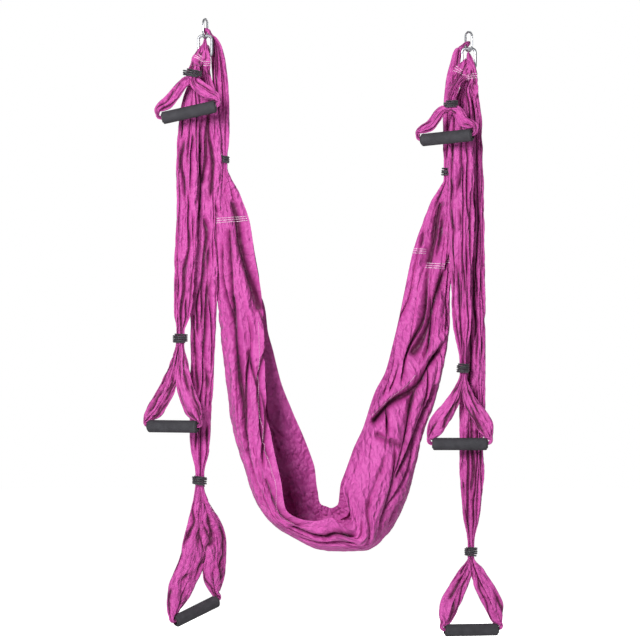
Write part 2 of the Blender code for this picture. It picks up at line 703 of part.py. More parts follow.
    def build(self, pivot):
        strap = add_object(f"{self.label}_strap", loft("column", self.column_rings()), CLOTH, pivot)
        cut(strap, loft("loop", self.loop_rings()), "UNION", pivot)
        reach = (EYE_HOLE + EYE_TUBE) / 2
        centre = self.rod + AXIS_Z * (self.carabiner.radius + EYE_SEAT - EYE_HOLE / 2)
        eye = eye_rings(centre, AXIS_Y, AXIS_Z, reach, reach, EYE_TUBE, EYE_POINTS)
        cut(strap, loft("eye", eye, closed=True), "UNION", pivot)

        last = self.column[-1]
        middle = from_pixels(last[0], self.tie_height, self.layer(last[4]))
        half = (last[2] * PIXEL, last[3] * PIXEL)
        winding(f"{self.label}_tie", middle, *half, self.turns, pivot)

        foam_half = FOAM_LENGTH / 2
        foam_radius = FOAM_DIAMETER / 2
        bore = CORE_DIAMETER / 2 + CLEARANCE
        profile = (
            (bore, -foam_half),
            (foam_radius - FOAM_EDGE, -foam_half),
            (foam_radius, -foam_half + FOAM_EDGE),
            (foam_radius, foam_half - FOAM_EDGE),
            (foam_radius - FOAM_EDGE, foam_half),
            (bore, foam_half),
        )
        name = f"{self.label}_grip"
        foam = turned_mesh(name, profile, self.grip, self.along, self.up, GRIP_SIDES)
        add_object(name, foam, FOAM, self.grip)
        core_half = CORE_LENGTH / 2
        profile = [(CORE_BORE / 2, -core_half), (CORE_DIAMETER / 2, -core_half)]
        profile += [(CORE_DIAMETER / 2, core_half), (CORE_BORE / 2, core_half)]
        name = f"{self.label}_core"
        core = turned_mesh(name, profile, self.grip, self.along, self.up, CORE_SIDES)
        add_object(name, core, PLASTIC, self.grip)


def tail_eye(carabiner):
    """The middle, the level direction and the tilted direction of a hammock end's loop."""
    leg = carabiner.local(carabiner.half_width, TAIL_EYE_RISE)
    tilt = math.radians(TAIL_EYE_TILT_DEG)
    out = carabiner.across * math.cos(tilt) - AXIS_Z * math.sin(tilt)
    return leg, out, carabiner.normal


def hammock_rings(carabiner_left, carabiner_right):
    """The whole sling, from the left end's eye round the seat to the right end's eye."""
    rings = []
    reach = (TAIL_EYE_HOLE + TAIL_EYE_TUBE) / 2

    def tail(carabiner, rows):
        leg, out, _ = tail_eye(carabiner)
        start = leg + out * reach
        small = TAIL_START_SHARE * TAIL_EYE_TUBE / 2
        found = [oval(start, AXIS_X, AXIS_Y, small, small, HAMMOCK_POINTS)]
        for across, down, wide, deep in rows:
            middle = from_pixels(across, down, TAIL_DEPTH)
            half = (wide * PIXEL, deep * PIXEL)
            found.append(oval(middle, AXIS_X, AXIS_Y, *half, HAMMOCK_POINTS))
        return found

    rings += tail(carabiner_left, LEFT_TAIL_PIXELS)
    for inner_x, inner_y, outer_x, outer_y, deep, trough in SLING_PIXELS:
        inner = from_pixels(inner_x, inner_y, TAIL_DEPTH)
        outer = from_pixels(outer_x, outer_y, TAIL_DEPTH)
        rings.append(sling_ring(inner, outer, deep * PIXEL, trough))
    # On the right the sling runs upwards, so those rings are turned to meet it point for point
    for ring in reversed(tail(carabiner_right, RIGHT_TAIL_PIXELS)):
        middle = sum(ring, Vector()) / len(ring)
        rings.append([Vector((2 * middle.x - p.x, p.y, p.z)) for p in ring])
    return rings


def trough_level(side):
    """The height of the full trough's inner face at a share of the half depth."""
    for (near, low), (far, high) in zip(TROUGH_SHARES, TROUGH_SHARES[1:]):
        if side <= far:
            return low + (high - low) * (side - near) / (far - near)
    return TROUGH_SHARES[-1][1]


def sling_ring(inner, outer, half_depth, trough):
    """A section of the sling, with a trough on its inner side and folds along its outer side."""
    middle = (inner + outer) / 2
    down = (inner - outer) / 2
    ring = []
    for i in range(HAMMOCK_POINTS):
        angle = math.tau * (i + 0.5) / HAMMOCK_POINTS
        level = math.cos(angle)
        side = math.sin(angle)
        if level > 0:
            level += (trough_level(abs(side)) - level) * trough
        else:
            level *= 1.0 - HAMMOCK_PLEAT_SHARE * 2.0 * (i % 2)
            side *= 1.0 - HAMMOCK_PLEAT_SHARE * (i % 2)
        ring.append(middle + down * level + AXIS_Y * (half_depth * side))
    return ring


def build():
    clear_scene()
    hangs = (
        Vector((-HANG_HALF_SPAN, 0.0, HANG_HALF_STEP)),
        Vector((HANG_HALF_SPAN, 0.0, -HANG_HALF_STEP)),
    )
    uppers = []
    lowers = []
    for side, hang, turn in zip(
        ("left", "right"), hangs, (UPPER_TURN_LEFT_DEG, UPPER_TURN_RIGHT_DEG)
    ):
        top = hang + AXIS_Z * (UPPER_ROD / 2)
        upper = Carabiner(
            f"{side}_upper", UPPER_LENGTH, UPPER_WIDTH, UPPER_ROD, UPPER_CORNER, top, turn
        )
        top = upper.bottom + AXIS_Z * ((UPPER_ROD + LOWER_ROD) / 2 + LINK_GAP)
        lower = Carabiner(
            f"{side}_lower", LOWER_LENGTH, LOWER_WIDTH, LOWER_ROD, LOWER_CORNER, top, 0.0
        )
        upper.build(hang, upper.local(-upper.half_width, upper.hinge))
        lower.build(top, lower.local(-lower.half_width, lower.hinge))
        uppers.append(upper)
        lowers.append(lower)

    for side, lower in zip(("left", "right"), lowers):
        for name, lane, shift, depth, column, grip, tie in STRAPS[side]:
            strap = Strap(f"{side}_{name}", lower, lane, shift, depth, column, grip, tie)
            pivot = strap.rod.copy()
            if name == "medium":
                pivot.z += strap.carabiner.radius + EYE_SEAT + EYE_TUBE / 2
            strap.build(pivot)

    middle = Vector((0.0, 0.0, 0.0))
    mesh = loft("hammock_cloth", hammock_rings(*uppers))
    hammock = add_object("hammock_cloth", mesh, CLOTH, middle)
    for side, upper in zip(("left", "right"), uppers):
        centre, out, level = tail_eye(upper)
        reach = (TAIL_EYE_HOLE + TAIL_EYE_TUBE) / 2
        eye = eye_rings(centre, out, level, reach, reach, TAIL_EYE_TUBE, EYE_POINTS)
        cut(hammock, loft(f"{side}_eye", eye, closed=True), "UNION", middle)
    for side, rows, tie in (
        ("left", LEFT_TAIL_PIXELS, LEFT_TAIL_TIE_PIXELS),
        ("right", RIGHT_TAIL_PIXELS, RIGHT_TAIL_TIE_PIXELS),
    ):
        last = rows[-1]
        centre = from_pixels(last[0], tie[0], TAIL_DEPTH)
        winding(f"{side}_hammock_tie", centre, last[2] * PIXEL, last[3] * PIXEL, tie[1], middle)


build()
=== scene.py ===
"""The looks of an aerial hammock: pleated taffeta with its stitching, foam grips, elastic ties and
steel spring-gate carabiners.

Metres, +Z up, -Y towards the viewer. Picture pixels are those of a 640 x 640 view.
"""

import json
import math

import bpy
import numpy as np
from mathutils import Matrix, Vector


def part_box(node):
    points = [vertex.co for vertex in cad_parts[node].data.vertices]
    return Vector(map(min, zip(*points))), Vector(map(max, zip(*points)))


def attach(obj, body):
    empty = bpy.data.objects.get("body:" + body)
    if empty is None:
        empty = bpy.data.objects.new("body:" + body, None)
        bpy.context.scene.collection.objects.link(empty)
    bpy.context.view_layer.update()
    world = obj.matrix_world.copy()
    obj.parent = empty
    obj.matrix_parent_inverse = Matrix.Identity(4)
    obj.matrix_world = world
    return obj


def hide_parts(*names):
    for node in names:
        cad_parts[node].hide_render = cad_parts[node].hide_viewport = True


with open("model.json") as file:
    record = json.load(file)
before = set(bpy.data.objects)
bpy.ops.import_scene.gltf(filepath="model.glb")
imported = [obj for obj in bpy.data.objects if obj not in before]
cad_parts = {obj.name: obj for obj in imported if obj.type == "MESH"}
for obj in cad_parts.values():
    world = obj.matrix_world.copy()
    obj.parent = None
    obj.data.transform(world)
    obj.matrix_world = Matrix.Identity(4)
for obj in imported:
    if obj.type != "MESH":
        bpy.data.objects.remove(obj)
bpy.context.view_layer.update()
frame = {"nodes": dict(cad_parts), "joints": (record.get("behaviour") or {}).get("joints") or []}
JOINTS = {joint["name"]: joint for joint in frame["joints"]}

# One picture pixel at the object, and the picture point that the origin falls on
PIXEL = 0.00241
ORIGIN_PIXELS = (337.0, 26.5)
PICTURE_PIXELS = 640.0
SENSOR_MM = 36.0
CAMERA_DISTANCE = 9.0

SIDES = ("left", "right")
SIGN = {"left": -1.0, "right": 1.0}
X = np.array((1.0, 0.0, 0.0))
Y = np.array((0.0, 1.0, 0.0))
Z = np.array((0.0, 0.0, 1.0))

# Where the carabiners hang, and the carabiners
HANG_HALF_SPAN = 0.3175
UPPER_ROD = 0.005
LOWER_ROD = 0.007
UPPER_WIDTH = 0.027

# Grips
FOAM_LENGTH = 0.130
FOAM_RADIUS = 0.015
FOAM_EDGE = 0.0035
FOAM_STEPS = 21
FOAM_SIDES = 64
CORE_SIDES = 48
CORE_LENGTH = 0.134
CORE_RADIUS = 0.0105
CORE_BORE_RADIUS = 0.0085
CORE_CLEARANCE = 0.0003
FOAM_ARC_STEPS = 7
SHARP_DEG = 35.0

# Elastic ties
CORD = 0.004
CORD_PITCH = 0.0046
CORD_SEAT = 0.0004
CORD_END = 0.012
CORD_STEPS = 28

# Depth of each strap's cloth at its neck and at its loop, the lane of its eye on the carabiner's
# bend, and the hammock's depth; then the width of a lane and how far an end eye reaches out
LAYERS = {"short": (-0.030, -0.072), "medium": (-0.008, -0.034), "long": (0.012, 0.004)}
LANES = {"short": -1, "medium": 1, "long": 0}
TAIL_DEPTH = 0.016
EYE_PITCH = 0.0072
EYE_REACH = 0.0085

# Strap necks: drop below the carabiner's bend, half width and half depth at its foot, shares of
# drop, width, depth and shift at each step down, and how much wider each is than its solid
NECK_DROP = 0.027
NECK_HALF_WIDTH = 0.0080
NECK_HALF_DEPTH = 0.0058
NECK_STEPS = (
    (0.33, 0.42, 0.74, 0.0), (0.52, 0.50, 0.76, 0.25), (0.75, 0.66, 0.84, 0.58),
    (1.0, 1.0, 1.0, 1.0),
)
NECK_FULLER = {"short": 2.1, "medium": 1.3, "long": 1.3}

# The loop of cloth through each grip
BAR_HALF = 0.0058
BAR_REST = 0.0019
TURN_HALF_WIDTH = 0.0060
TURN_HALF_DEPTH = 0.0095
TURN_CLEARANCE = 0.001
LEG_HALF_DEPTH = 0.0100
LEG_ABOVE_GRIP = 0.0185
LEG_SPREAD = 0.0025
LEG_LEAN_SHARES = (1.0, 1.0, 0.62, 0.22, 0.0, 0.0, 0.0, 0.0)
TIE_LEG_SHARES = (0.28, 0.48, 0.5)
UNDER_TIE_SHARES = (0.34, 0.58, 0.75)
LEG_FOOT_SHARE = 0.56
LEG_TOUCH_SHARE = 0.80

# Strap columns in picture pixels, each row: middle, height, half width, half depth, layer share
COLUMN_PIXELS = {
    "left_short": (
        (195.4, 67.5, 5.4, 2.4, 0.42), (193.6, 72, 7.2, 2.7, 0.42), (193, 79, 7.6, 2.7, 0.42),
    ),
    "left_medium": (
        (193, 84, 6, 3.4, 0.1), (190.6, 110, 10.5, 4.2, 0.35), (188.2, 150, 12.4, 5, 0.75),
        (187.4, 205, 12.6, 5.4, 1), (185, 270, 12, 5.4, 1), (182.5, 315, 9.5, 4.8, 1),
        (180.7, 331.8, 5.6, 3.8, 1), (180.7, 344.8, 5.6, 3.8, 1),
    ),
    "left_long": (
        (204, 77, 8.2, 3.4, 0.4), (206.4, 95, 11.2, 4.2, 0.8), (206.8, 125, 14.4, 4.7, 1),
        (207.8, 160, 16.8, 5, 1), (205.8, 200, 15.4, 5.2, 1), (204.8, 250, 15.2, 5.4, 1),
        (204, 300, 14.6, 5.4, 1), (201.5, 400, 12.8, 5.4, 1), (200.5, 445, 11.2, 5, 1),
        (199.5, 474, 5.6, 3.8, 1), (199.5, 487, 5.6, 3.8, 1),
    ),
    "right_short": (
        (457, 84, 5, 2.6, 0.25), (452, 94, 6, 2.8, 0.55), (450, 100, 5.4, 2.8, 0.75),
        (450, 111, 5.4, 2.8, 0.75),
    ),
    "right_medium": (
        (463.8, 88, 5.4, 3, 0.05), (461.6, 106, 10.2, 3.4, 0.25), (460.6, 130, 13.2, 4.4, 0.6),
        (460.2, 180, 14.4, 5.2, 1), (460.6, 260, 13, 5.4, 1), (461.8, 325, 10.2, 5, 1),
        (462.5, 361, 4.6, 3.6, 1), (462.5, 375, 4.6, 3.6, 1),
    ),
    "right_long": (
        (474, 100, 6.5, 3.4, 0.5), (475.5, 135, 9, 4.6, 1), (475, 200, 11, 5.2, 1),
        (474.5, 300, 12.5, 5.4, 1), (472.5, 400, 14, 5.6, 1), (472, 465, 14, 5.4, 1),
        (471.5, 520, 9.5, 4.8, 1), (471, 545, 4.6, 3.6, 1), (471, 558, 4.6, 3.6, 1),
    ),
}
# Grips in picture pixels and degrees: middle, tilt in the picture, turn about the vertical, and
# the half width of the cloth legs above them
GRIP_PIXELS = {
    "left_short": (190.0, 114.0, 12.5, 0.0, 7.6),
    "left_medium": (173.5, 426.0, 0.0, -24.0, 10.4),
    "left_long": (196.0, 611.3, 19.5, 38.0, 11.0),
    "right_short": (446.0, 139.0, 4.5, -24.0, 6.2),
    "right_medium": (459.5, 443.5, 0.0, 0.0, 10.2),
    "right_long": (471.5, 630.0, 0.0, 12.0, 11.6),
}
# Each loop's legs: the height where they part and their half width there, then the height where
# they reach out furthest, their half width there and how far out that is
LOOP_PIXELS = {
    "left_short": (82.0, 6.4, 99.0, 7.2, 27.5),
    "left_medium": (380.0, 9.6, 407.0, 11.0, 31.0),
    "left_long": (553.0, 17.0, 582.0, 15.5, 38.0),
    "right_short": (111.0, 5.2, 125.0, 7.2, 25.5),
    "right_medium": (394.0, 7.2, 424.0, 10.2, 33.0),
    "right_long": (573.0, 8.4, 605.0, 11.4, 34.0),
}
# Ties in picture pixels: middle height, and the number of turns
TIE_PIXELS = {
    "left_short": (74.5, 3),
    "left_medium": (338.3, 4),
    "left_long": (480.5, 4),
    "right_short": (105.5, 3),
    "right_medium": (368.0, 4),
    "right_long": (551.5, 4),
}
TAIL_TIE_PIXELS = {"left": (159.0, 3), "right": (171.5, 3)}
# Hammock ends above the ties in picture pixels: middle, height, half width, half depth, and how
# far back each lies (a share)
TAIL_PIXELS = {
    "left": (
        (212.5, 37, 3.6, 2.6, 0), (216, 48, 6.2, 3.4, 0.3), (217.6, 66, 8.6, 4, 1),
        (219.6, 95, 9.4, 4.4, 1), (220.8, 130, 9.2, 4.4, 0.6), (223, 146, 5.6, 3.8, 0.2),
        (224, 154, 3.6, 3.4, 0), (224, 167, 3.6, 3.4, 0),
    ),
    "right": (
        (459.5, 48, 3.6, 2.6, 0), (456, 62, 5.4, 3.2, 0.3), (452.6, 85, 7.2, 4, 0.8),
        (450.8, 115, 7.6, 4.2, 0.8), (450.4, 146, 7.6, 4.2, 0.5), (447, 163, 3.6, 3.4, 0),
        (447, 180, 3.6, 3.4, 0),
    ),
}
TAIL_SET_BACK = 0.009
# The sling between the ties in picture pixels, from left to right: a point on its inner edge, the
# point across from it on its outer edge, half depth, how far it has opened, and how far in from
# the outer edge the front hem reaches (all but the pixels are shares)
SLING_PIXELS = (
    (231, 177, 219, 178, 5, 0, 1), (240, 193, 211.6, 195, 7.5, 0.1, 1),
    (250, 220, 211.2, 223, 11, 0.3, 1), (257, 260, 211.4, 265, 14, 0.5, 0.98),
    (266.5, 303, 213.2, 310, 17, 0.7, 0.93), (272.5, 345, 218.5, 353, 22, 0.85, 0.85),
    (280.5, 380, 223, 392, 29, 1, 0.76), (291.5, 409, 229, 428, 37, 1, 0.65),
    (304.5, 440, 238.5, 460, 45, 1, 0.56), (313.5, 465, 248.5, 492, 51, 1, 0.52),
    (317.5, 492, 264, 520, 55, 1, 0.46), (322.5, 508, 295, 542.5, 57, 1, 0.72),
    (331, 511, 334, 555, 58, 1, 0.93), (337.5, 508, 368, 553, 57, 1, 0.62),
    (342, 483, 395, 529, 55, 1, 0.99), (353, 453, 409.5, 498, 51, 1, 1),
    (364, 428, 418.5, 465, 45, 1, 0.97), (375, 394, 426, 433, 37, 1, 0.93),
    (386, 372, 437.5, 403, 29, 1, 0.93), (393, 345, 446.5, 366, 22, 0.85, 0.95),
    (399, 318, 452.1, 330, 18, 0.7, 1), (405, 287, 453.4, 292, 15, 0.6, 1),
    (411, 256, 456, 258, 12.5, 0.4, 1), (420, 225, 456.8, 226, 10, 0.2, 1),
    (430, 200, 456, 201, 7.5, 0.1, 1), (440, 186, 452, 186.5, 5, 0, 1),
)
# The opened sling's section from its lowest line out to a hem: shares of half the depth and of
# half the thickness
OPEN_SECTION_SHARES = (
    (0.0, -1.0), (0.38, -0.95), (0.72, -0.72), (0.93, -0.30), (1.0, 0.25), (0.955, 1.0),
)


def from_pixels(across, down, depth):
    """The point of the object that the picture shows there."""
    return np.array(
        ((across - ORIGIN_PIXELS[0]) * PIXEL, depth, (ORIGIN_PIXELS[1] - down) * PIXEL)
    )


def unit(vectors):
    return vectors / np.linalg.norm(vectors, axis=-1, keepdims=True)


# Materials


class Nodes:
    """A node tree, built a line at a time."""

    def __init__(self, owner):
        owner.use_nodes = True
        self.nodes = owner.node_tree.nodes
        self.links = owner.node_tree.links

    def node(self, kind, inputs=None, **values):
        made = self.nodes.new(kind)
        for key, value in values.items():
            setattr(made, key, value)
        for key, value in (inputs or {}).items():
            made.inputs[key].default_value = value
        return made

    def link(self, source, target):
        self.links.new(source, target)

    def between(self, source, low, high):
        level = self.node("ShaderNodeMapRange", {"To Min": low, "To Max": high})
        self.link(source, level.inputs["Value"])
        return level.outputs["Result"]

    def seen(self):
        """1 for what the camera sees directly, 0 for light on its way round."""
        return self.node("ShaderNodeLightPath").outputs["Is Camera Ray"]


class Shader(Nodes):
    """A material's node tree."""

    def __init__(self, name, colour, roughness, metallic=0.0, **constants):
        self.material = bpy.data.materials.new(name)
        super().__init__(self.material)
        self.main = self.nodes["Principled BSDF"]
        self.main.inputs["Base Color"].default_value = (*colour, 1.0)
        self.main.inputs["Roughness"].default_value = roughness
        self.main.inputs["Metallic"].default_value = metallic
        for key, value in constants.items():
            self.main.inputs[key.replace("_", " ")].default_value = value
        self.place = self.node("ShaderNodeTexCoord").outputs["Object"]

    def finish(self, colour, normal=None):
        self.link(colour, self.main.inputs["Base Color"])
        if normal:
            self.link(normal, self.main.inputs["Normal"])
        return self.material

    def rough_between(self, source, low, high):
        self.link(self.between(source, low, high), self.main.inputs["Roughness"])

    def stretch(self, source, scale):
        mapping = self.node("ShaderNodeMapping", {"Scale": scale})
        self.link(source, mapping.inputs["Vector"])
        return mapping.outputs["Vector"]

    def noise(self, source, scale, detail):
        inputs = {"Scale": scale, "Detail": detail, "Roughness": 0.55}
        made = self.node("ShaderNodeTexNoise", inputs)
        self.link(source, made.inputs["Vector"])
        return made.outputs["Fac"]

    def facets(self, source, scale, warp):
        """Small flat facets that meet in creases, as crumpled cloth has."""
        spread = self.node("ShaderNodeTexNoise", {"Scale": 0.8, "Detail": 3.0})
        placed = self.stretch(source, scale)
        self.link(placed, spread.inputs["Vector"])
        moved = self.node("ShaderNodeVectorMath", {1: (warp, warp, 0.0)}, operation="MULTIPLY_ADD")
        self.link(spread.outputs["Color"], moved.inputs[0])
        self.link(placed, moved.inputs[2])
        inputs = {"Scale": 1.0, "Smoothness": 0.12}
        cells = self.node("ShaderNodeTexVoronoi", inputs, feature="SMOOTH_F1")
        self.link(moved.outputs["Vector"], cells.inputs["Vector"])
        return cells.outputs["Distance"]

    def ramp(self, source, *stops):
        made = self.node("ShaderNodeValToRGB")
        elements = made.color_ramp.elements
        while len(elements) < len(stops):
            elements.new(0.5)
        for element, (position, colour) in zip(elements, stops):
            element.position = position
            element.color = (*colour, 1.0) if len(colour) == 3 else (*(colour * 3), 1.0)
        self.link(source, made.inputs["Fac"])
        return made.outputs["Color"]

    def multiply(self, first, second, share):
        kind = {"data_type": "RGBA", "blend_type": "MULTIPLY"}
        made = self.node("ShaderNodeMix", {"Factor": share}, **kind)
        self.link(first, made.inputs["A"])
        self.link(second, made.inputs["B"])
        return made.outputs["Result"]

    def bump(self, height, distance, strength, normal=None):
        made = self.node("ShaderNodeBump", {"Distance": distance, "Strength": strength})
        self.link(height, made.inputs["Height"])
        if normal:
            self.link(normal, made.inputs["Normal"])
        return made.outputs["Normal"]


# Colours over each material's pattern: place on it from 0 to 1, then red, green and blue, or grey
CLOTH_COLOURS = (
    (0.25, (0.52, 0.062, 0.33)), (0.55, (0.62, 0.085, 0.40)), (0.8, (0.70, 0.125, 0.47)),
)
# The crease colours are painted shade: they darken the cloth by how deep in a crease each point
# lies
CREASE_SHADE_COLOURS = ((0.12, (1.0,)), (0.46, (0.78, 0.64, 0.74)), (0.84, (0.17, 0.06, 0.13)))
WEAVE_COLOURS = ((0.12, (0.66,)), (0.42, (1.0,)))
FOAM_COLOURS = ((0.3, (0.028, 0.027, 0.032)), (0.75, (0.045, 0.044, 0.051)))
TUBE_COLOURS = ((0.35, (0.016, 0.016, 0.018)), (0.75, (0.05, 0.05, 0.052)))
ELASTIC_COLOURS = ((0.0, (0.009, 0.008, 0.012)), (1.0, (0.028, 0.026, 0.034)))
THREAD_COLOURS = ((0.3, (0.70, 0.44, 0.60)), (0.7, (0.92, 0.72, 0.84)))
STEEL_COLOURS = ((0.3, (0.36, 0.37, 0.40)), (0.7, (0.52, 0.53, 0.56)))
# The lowest and the highest roughness over the pattern
CLOTH_ROUGHNESS = (0.44, 0.66)
STEEL_ROUGHNESS = (0.34, 0.50)
# The cloth's pattern in cells a metre across and along: its threads each way, its grain, and its
# crumple facets with their warp, depth and strength
THREADS = ((1900.0, 300.0, 1.0), (320.0, 2600.0, 1.0))
GRAIN = (420.0, 260.0, 1.0)
FACETS = (((34.0, 20.0, 1.0), 0.9, 0.0085, 0.8), ((95.0, 62.0, 1.0), 1.1, 0.0070, 0.9))


def cloth_material():
    """Crinkled magenta taffeta: a fine weave, fine creases along the cloth, a soft sheen, and
    painted shade that darkens the colour deep in the creases.
    """
    shader = Shader("magenta_taffeta", (0.62, 0.080, 0.40), 0.50, Sheen_Weight=0.16,
                    Sheen_Roughness=0.38, Specular_IOR_Level=0.34)
    shader.main.inputs["Sheen Tint"].default_value = (1.0, 0.62, 0.9, 1.0)
    cloth = shader.node("ShaderNodeUVMap", uv_map="cloth").outputs["UV"]
    broad = shader.noise(shader.stretch(shader.place, (1.0, 1.0, 0.35)), 26.0, 5.0)
    colour = shader.ramp(broad, *CLOTH_COLOURS)
    threads, cross = (shader.noise(shader.stretch(cloth, scale), 1.0, 2.0) for scale in THREADS)
    weave = shader.multiply(threads, cross, 1.0)
    colour = shader.multiply(colour, shader.ramp(weave, *WEAVE_COLOURS), 0.85)
    # Painted shade in the creases: each point's crease depth, read from the mesh, darkens the
    # colour
    crease_shade = shader.node("ShaderNodeAttribute", attribute_name="crease_shade").outputs["Fac"]
    deep = shader.ramp(crease_shade, *CREASE_SHADE_COLOURS)
    shader.rough_between(broad, *CLOTH_ROUGHNESS)
    normal = None
    for scale, warp, depth, strength in FACETS:
        normal = shader.bump(shader.facets(cloth, scale, warp), depth, strength, normal)
    grain = shader.noise(shader.stretch(cloth, GRAIN), 1.0, 3.0)
    normal = shader.bump(grain, 0.0012, 0.7, normal)
    normal = shader.bump(weave, 0.00015, 0.7, normal)
    # The base colour times the painted crease shade
    return shader.finish(shader.multiply(colour, deep, 1.0), normal)


def foam_material():
    """Closed-cell foam: charcoal, matt, with small pores and rubbed patches."""
    shader = Shader("charcoal_foam", (0.036, 0.035, 0.041), 0.82, Specular_IOR_Level=0.35)
    patches = shader.noise(shader.place, 55.0, 5.0)
    colour = shader.ramp(patches, *FOAM_COLOURS)
    pores = shader.node("ShaderNodeTexVoronoi", {"Scale": 1500.0})
    shader.link(shader.place, pores.inputs["Vector"])
    normal = shader.bump(pores.outputs["Distance"], 0.0002, 0.5)
    normal = shader.bump(shader.noise(shader.place, 210.0, 4.0), 0.0004, 0.4, normal)
    return shader.finish(colour, normal)


def tube_material():
    """Black moulded plastic with faint scuffs."""
    shader = Shader("black_tube", (0.022, 0.022, 0.024), 0.42)
    scuffs = shader.noise(shader.stretch(shader.place, (1.0, 1.0, 6.0)), 190.0, 6.0)
    colour = shader.ramp(scuffs, *TUBE_COLOURS)
    return shader.finish(colour, shader.bump(scuffs, 0.0002, 0.4))


def elastic_material():
    """The braided sleeve of an elastic cord, black with grey flecks."""
    shader = Shader("black_elastic", (0.014, 0.013, 0.018), 0.46, Sheen_Weight=0.2)
    cord = shader.node("ShaderNodeUVMap", uv_map="cloth").outputs["UV"]
    checks = shader.node("ShaderNodeTexChecker", {"Scale": 1.0})
    turn = (0.0, 0.0, math.radians(45.0))
    skew = shader.node("ShaderNodeMapping", {"Scale": (1100.0, 1100.0, 1.0), "Rotation": turn})
    shader.link(cord, skew.inputs["Vector"])
    shader.link(skew.outputs["Vector"], checks.inputs["Vector"])
    braid = checks.outputs["Fac"]
    colour = shader.ramp(braid, *ELASTIC_COLOURS)
    return shader.finish(colour, shader.bump(braid, 0.0002, 0.6))


def thread_material():
    """Pale pink sewing thread."""
    shader = Shader("pale_thread", (0.82, 0.56, 0.72), 0.6, Sheen_Weight=0.2)
    twist = shader.noise(shader.place, 900.0, 2.0)
    return shader.finish(shader.ramp(twist, *THREAD_COLOURS))


def steel_material():
    """Bright zinc-plated steel, with faint drawing lines and rubbed spots."""
    shader = Shader("bright_steel", (0.45, 0.46, 0.49), 0.40, 1.0)
    clouds = shader.noise(shader.place, 240.0, 5.0)
    colour = shader.ramp(clouds, *STEEL_COLOURS)
    shader.rough_between(clouds, *STEEL_ROUGHNESS)
    fine = shader.noise(shader.place, 1400.0, 3.0)
    return shader.finish(colour, shader.bump(fine, 0.00005, 0.5))


CLOTH = cloth_material()
FOAM = foam_material()
TUBE = tube_material()
ELASTIC = elastic_material()
THREAD = thread_material()
STEEL = steel_material()


# Meshes


def added(name, data):
    """A new object in the scene."""
    obj = bpy.data.objects.new(name, data)
    bpy.context.scene.collection.objects.link(obj)
    return obj


class Shape:
    """Grids of points that become one mesh, each grid with its own material."""

    def __init__(self):
        self.points = []
        self.flat = []
        # How deep in a crease each point lies, kept for the painted crease shade
        self.folds = []
        self.faces = []
        self.looks = []
        self.used = []
        self.count = 0

    def add(self, grid, look, flat=None, crease_shade=None, around=False, along=False, caps=False):
        """A grid of points (rows, columns, 3); flat holds its place in the unfolded cloth, and the
        crease depths how deep in a crease each point lies, for the painted shade the cloth's
        material adds there."""
        rows, columns = grid.shape[:2]
        if look not in self.used:
            self.used.append(look)
        index = np.arange(rows * columns).reshape(rows, columns) + self.count
        if around:
            index = np.concatenate([index, index[:, :1]], axis=1)
        if along:
            index = np.concatenate([index, index[:1]], axis=0)
        quads = np.stack([index[:-1, :-1], index[:-1, 1:], index[1:, 1:], index[1:, :-1]], axis=-1)
        quads = quads.reshape(-1, 4).tolist()
        if caps:
            quads.append(index[0, :columns][::-1].tolist())
            quads.append(index[-1, :columns].tolist())
        self.faces += quads
        self.looks += [self.used.index(look)] * len(quads)
        self.points.append(grid.reshape(-1, 3))
        if flat is None:
            travel = np.arange(rows)[:, None] * CORD * 0.5
            turn = np.linspace(0.0, math.pi * CORD, columns)[None]
            flat = np.stack(np.broadcast_arrays(turn, travel), axis=-1)
        self.flat.append(flat.reshape(-1, 2))
        self.folds.append(np.zeros(rows * columns) if crease_shade is None else crease_shade.ravel())
        self.count += rows * columns

    def build(self, name, sharp_deg=None):
        mesh = bpy.data.meshes.new(name)
        mesh.from_pydata(np.concatenate(self.points).tolist(), [], self.faces)
        for look in self.used:
            mesh.materials.append(look)
        mesh.polygons.foreach_set("material_index", np.array(self.looks, np.int32))
        layer = mesh.uv_layers.new(name="cloth")
        corners = np.empty(len(mesh.loops), np.int32)
        mesh.loops.foreach_get("vertex_index", corners)
        layer.data.foreach_set("uv", np.concatenate(self.flat)[corners].astype(np.float32).ravel())
        # Painted shade: each point's crease depth, which darkens the cloth's colour
        crease_shade = mesh.attributes.new("crease_shade", "FLOAT", "POINT")
        crease_shade.data.foreach_set("value", np.concatenate(self.folds).astype(np.float32))
        mesh.shade_smooth()
        if sharp_deg:
            mesh.set_sharp_from_angle(angle=math.radians(sharp_deg))
        return added(name, mesh)


def lengths(points):
    """How far along its path each point lies, for one path or for many side by side."""
    steps = np.linalg.norm(np.diff(points, axis=-2), axis=-1)
    start = np.zeros((*steps.shape[:-1], 1))
    return np.concatenate([start, np.cumsum(steps, axis=-1)], axis=-1)


def flow(rows, spacing):
    """Rows of numbers, the first three a place, resampled evenly along the path, with no
    overshoot."""
    rows = np.array(rows, float)
    at = lengths(rows[:, :3])
    step = np.diff(at)[:, None]
    slope = np.diff(rows, axis=0) / step
    same = slope[:-1] * slope[1:] > 0
    first = 2 * step[1:] + step[:-1]
    second = step[1:] + 2 * step[:-1]
    safe = [np.where(same, side, 1.0) for side in (slope[:-1], slope[1:])]
    inner = np.where(same, (first + second) / (first / safe[0] + second / safe[1]), 0.0)
    tangent = np.vstack([slope[:1], inner, slope[-1:]])
    places = np.linspace(0.0, at[-1], max(int(at[-1] / spacing), 6) + 1)
    i = np.clip(np.searchsorted(at, places, side="right") - 1, 0, len(step) - 1)
    h = step[i]
    t = (places[:, None] - at[i][:, None]) / h
    found = rows[i] * (2 * t**3 - 3 * t**2 + 1) + rows[i + 1] * (3 * t**2 - 2 * t**3)
    return found + h * (tangent[i] * (t**3 - 2 * t**2 + t) + tangent[i + 1] * (t**3 - t**2))


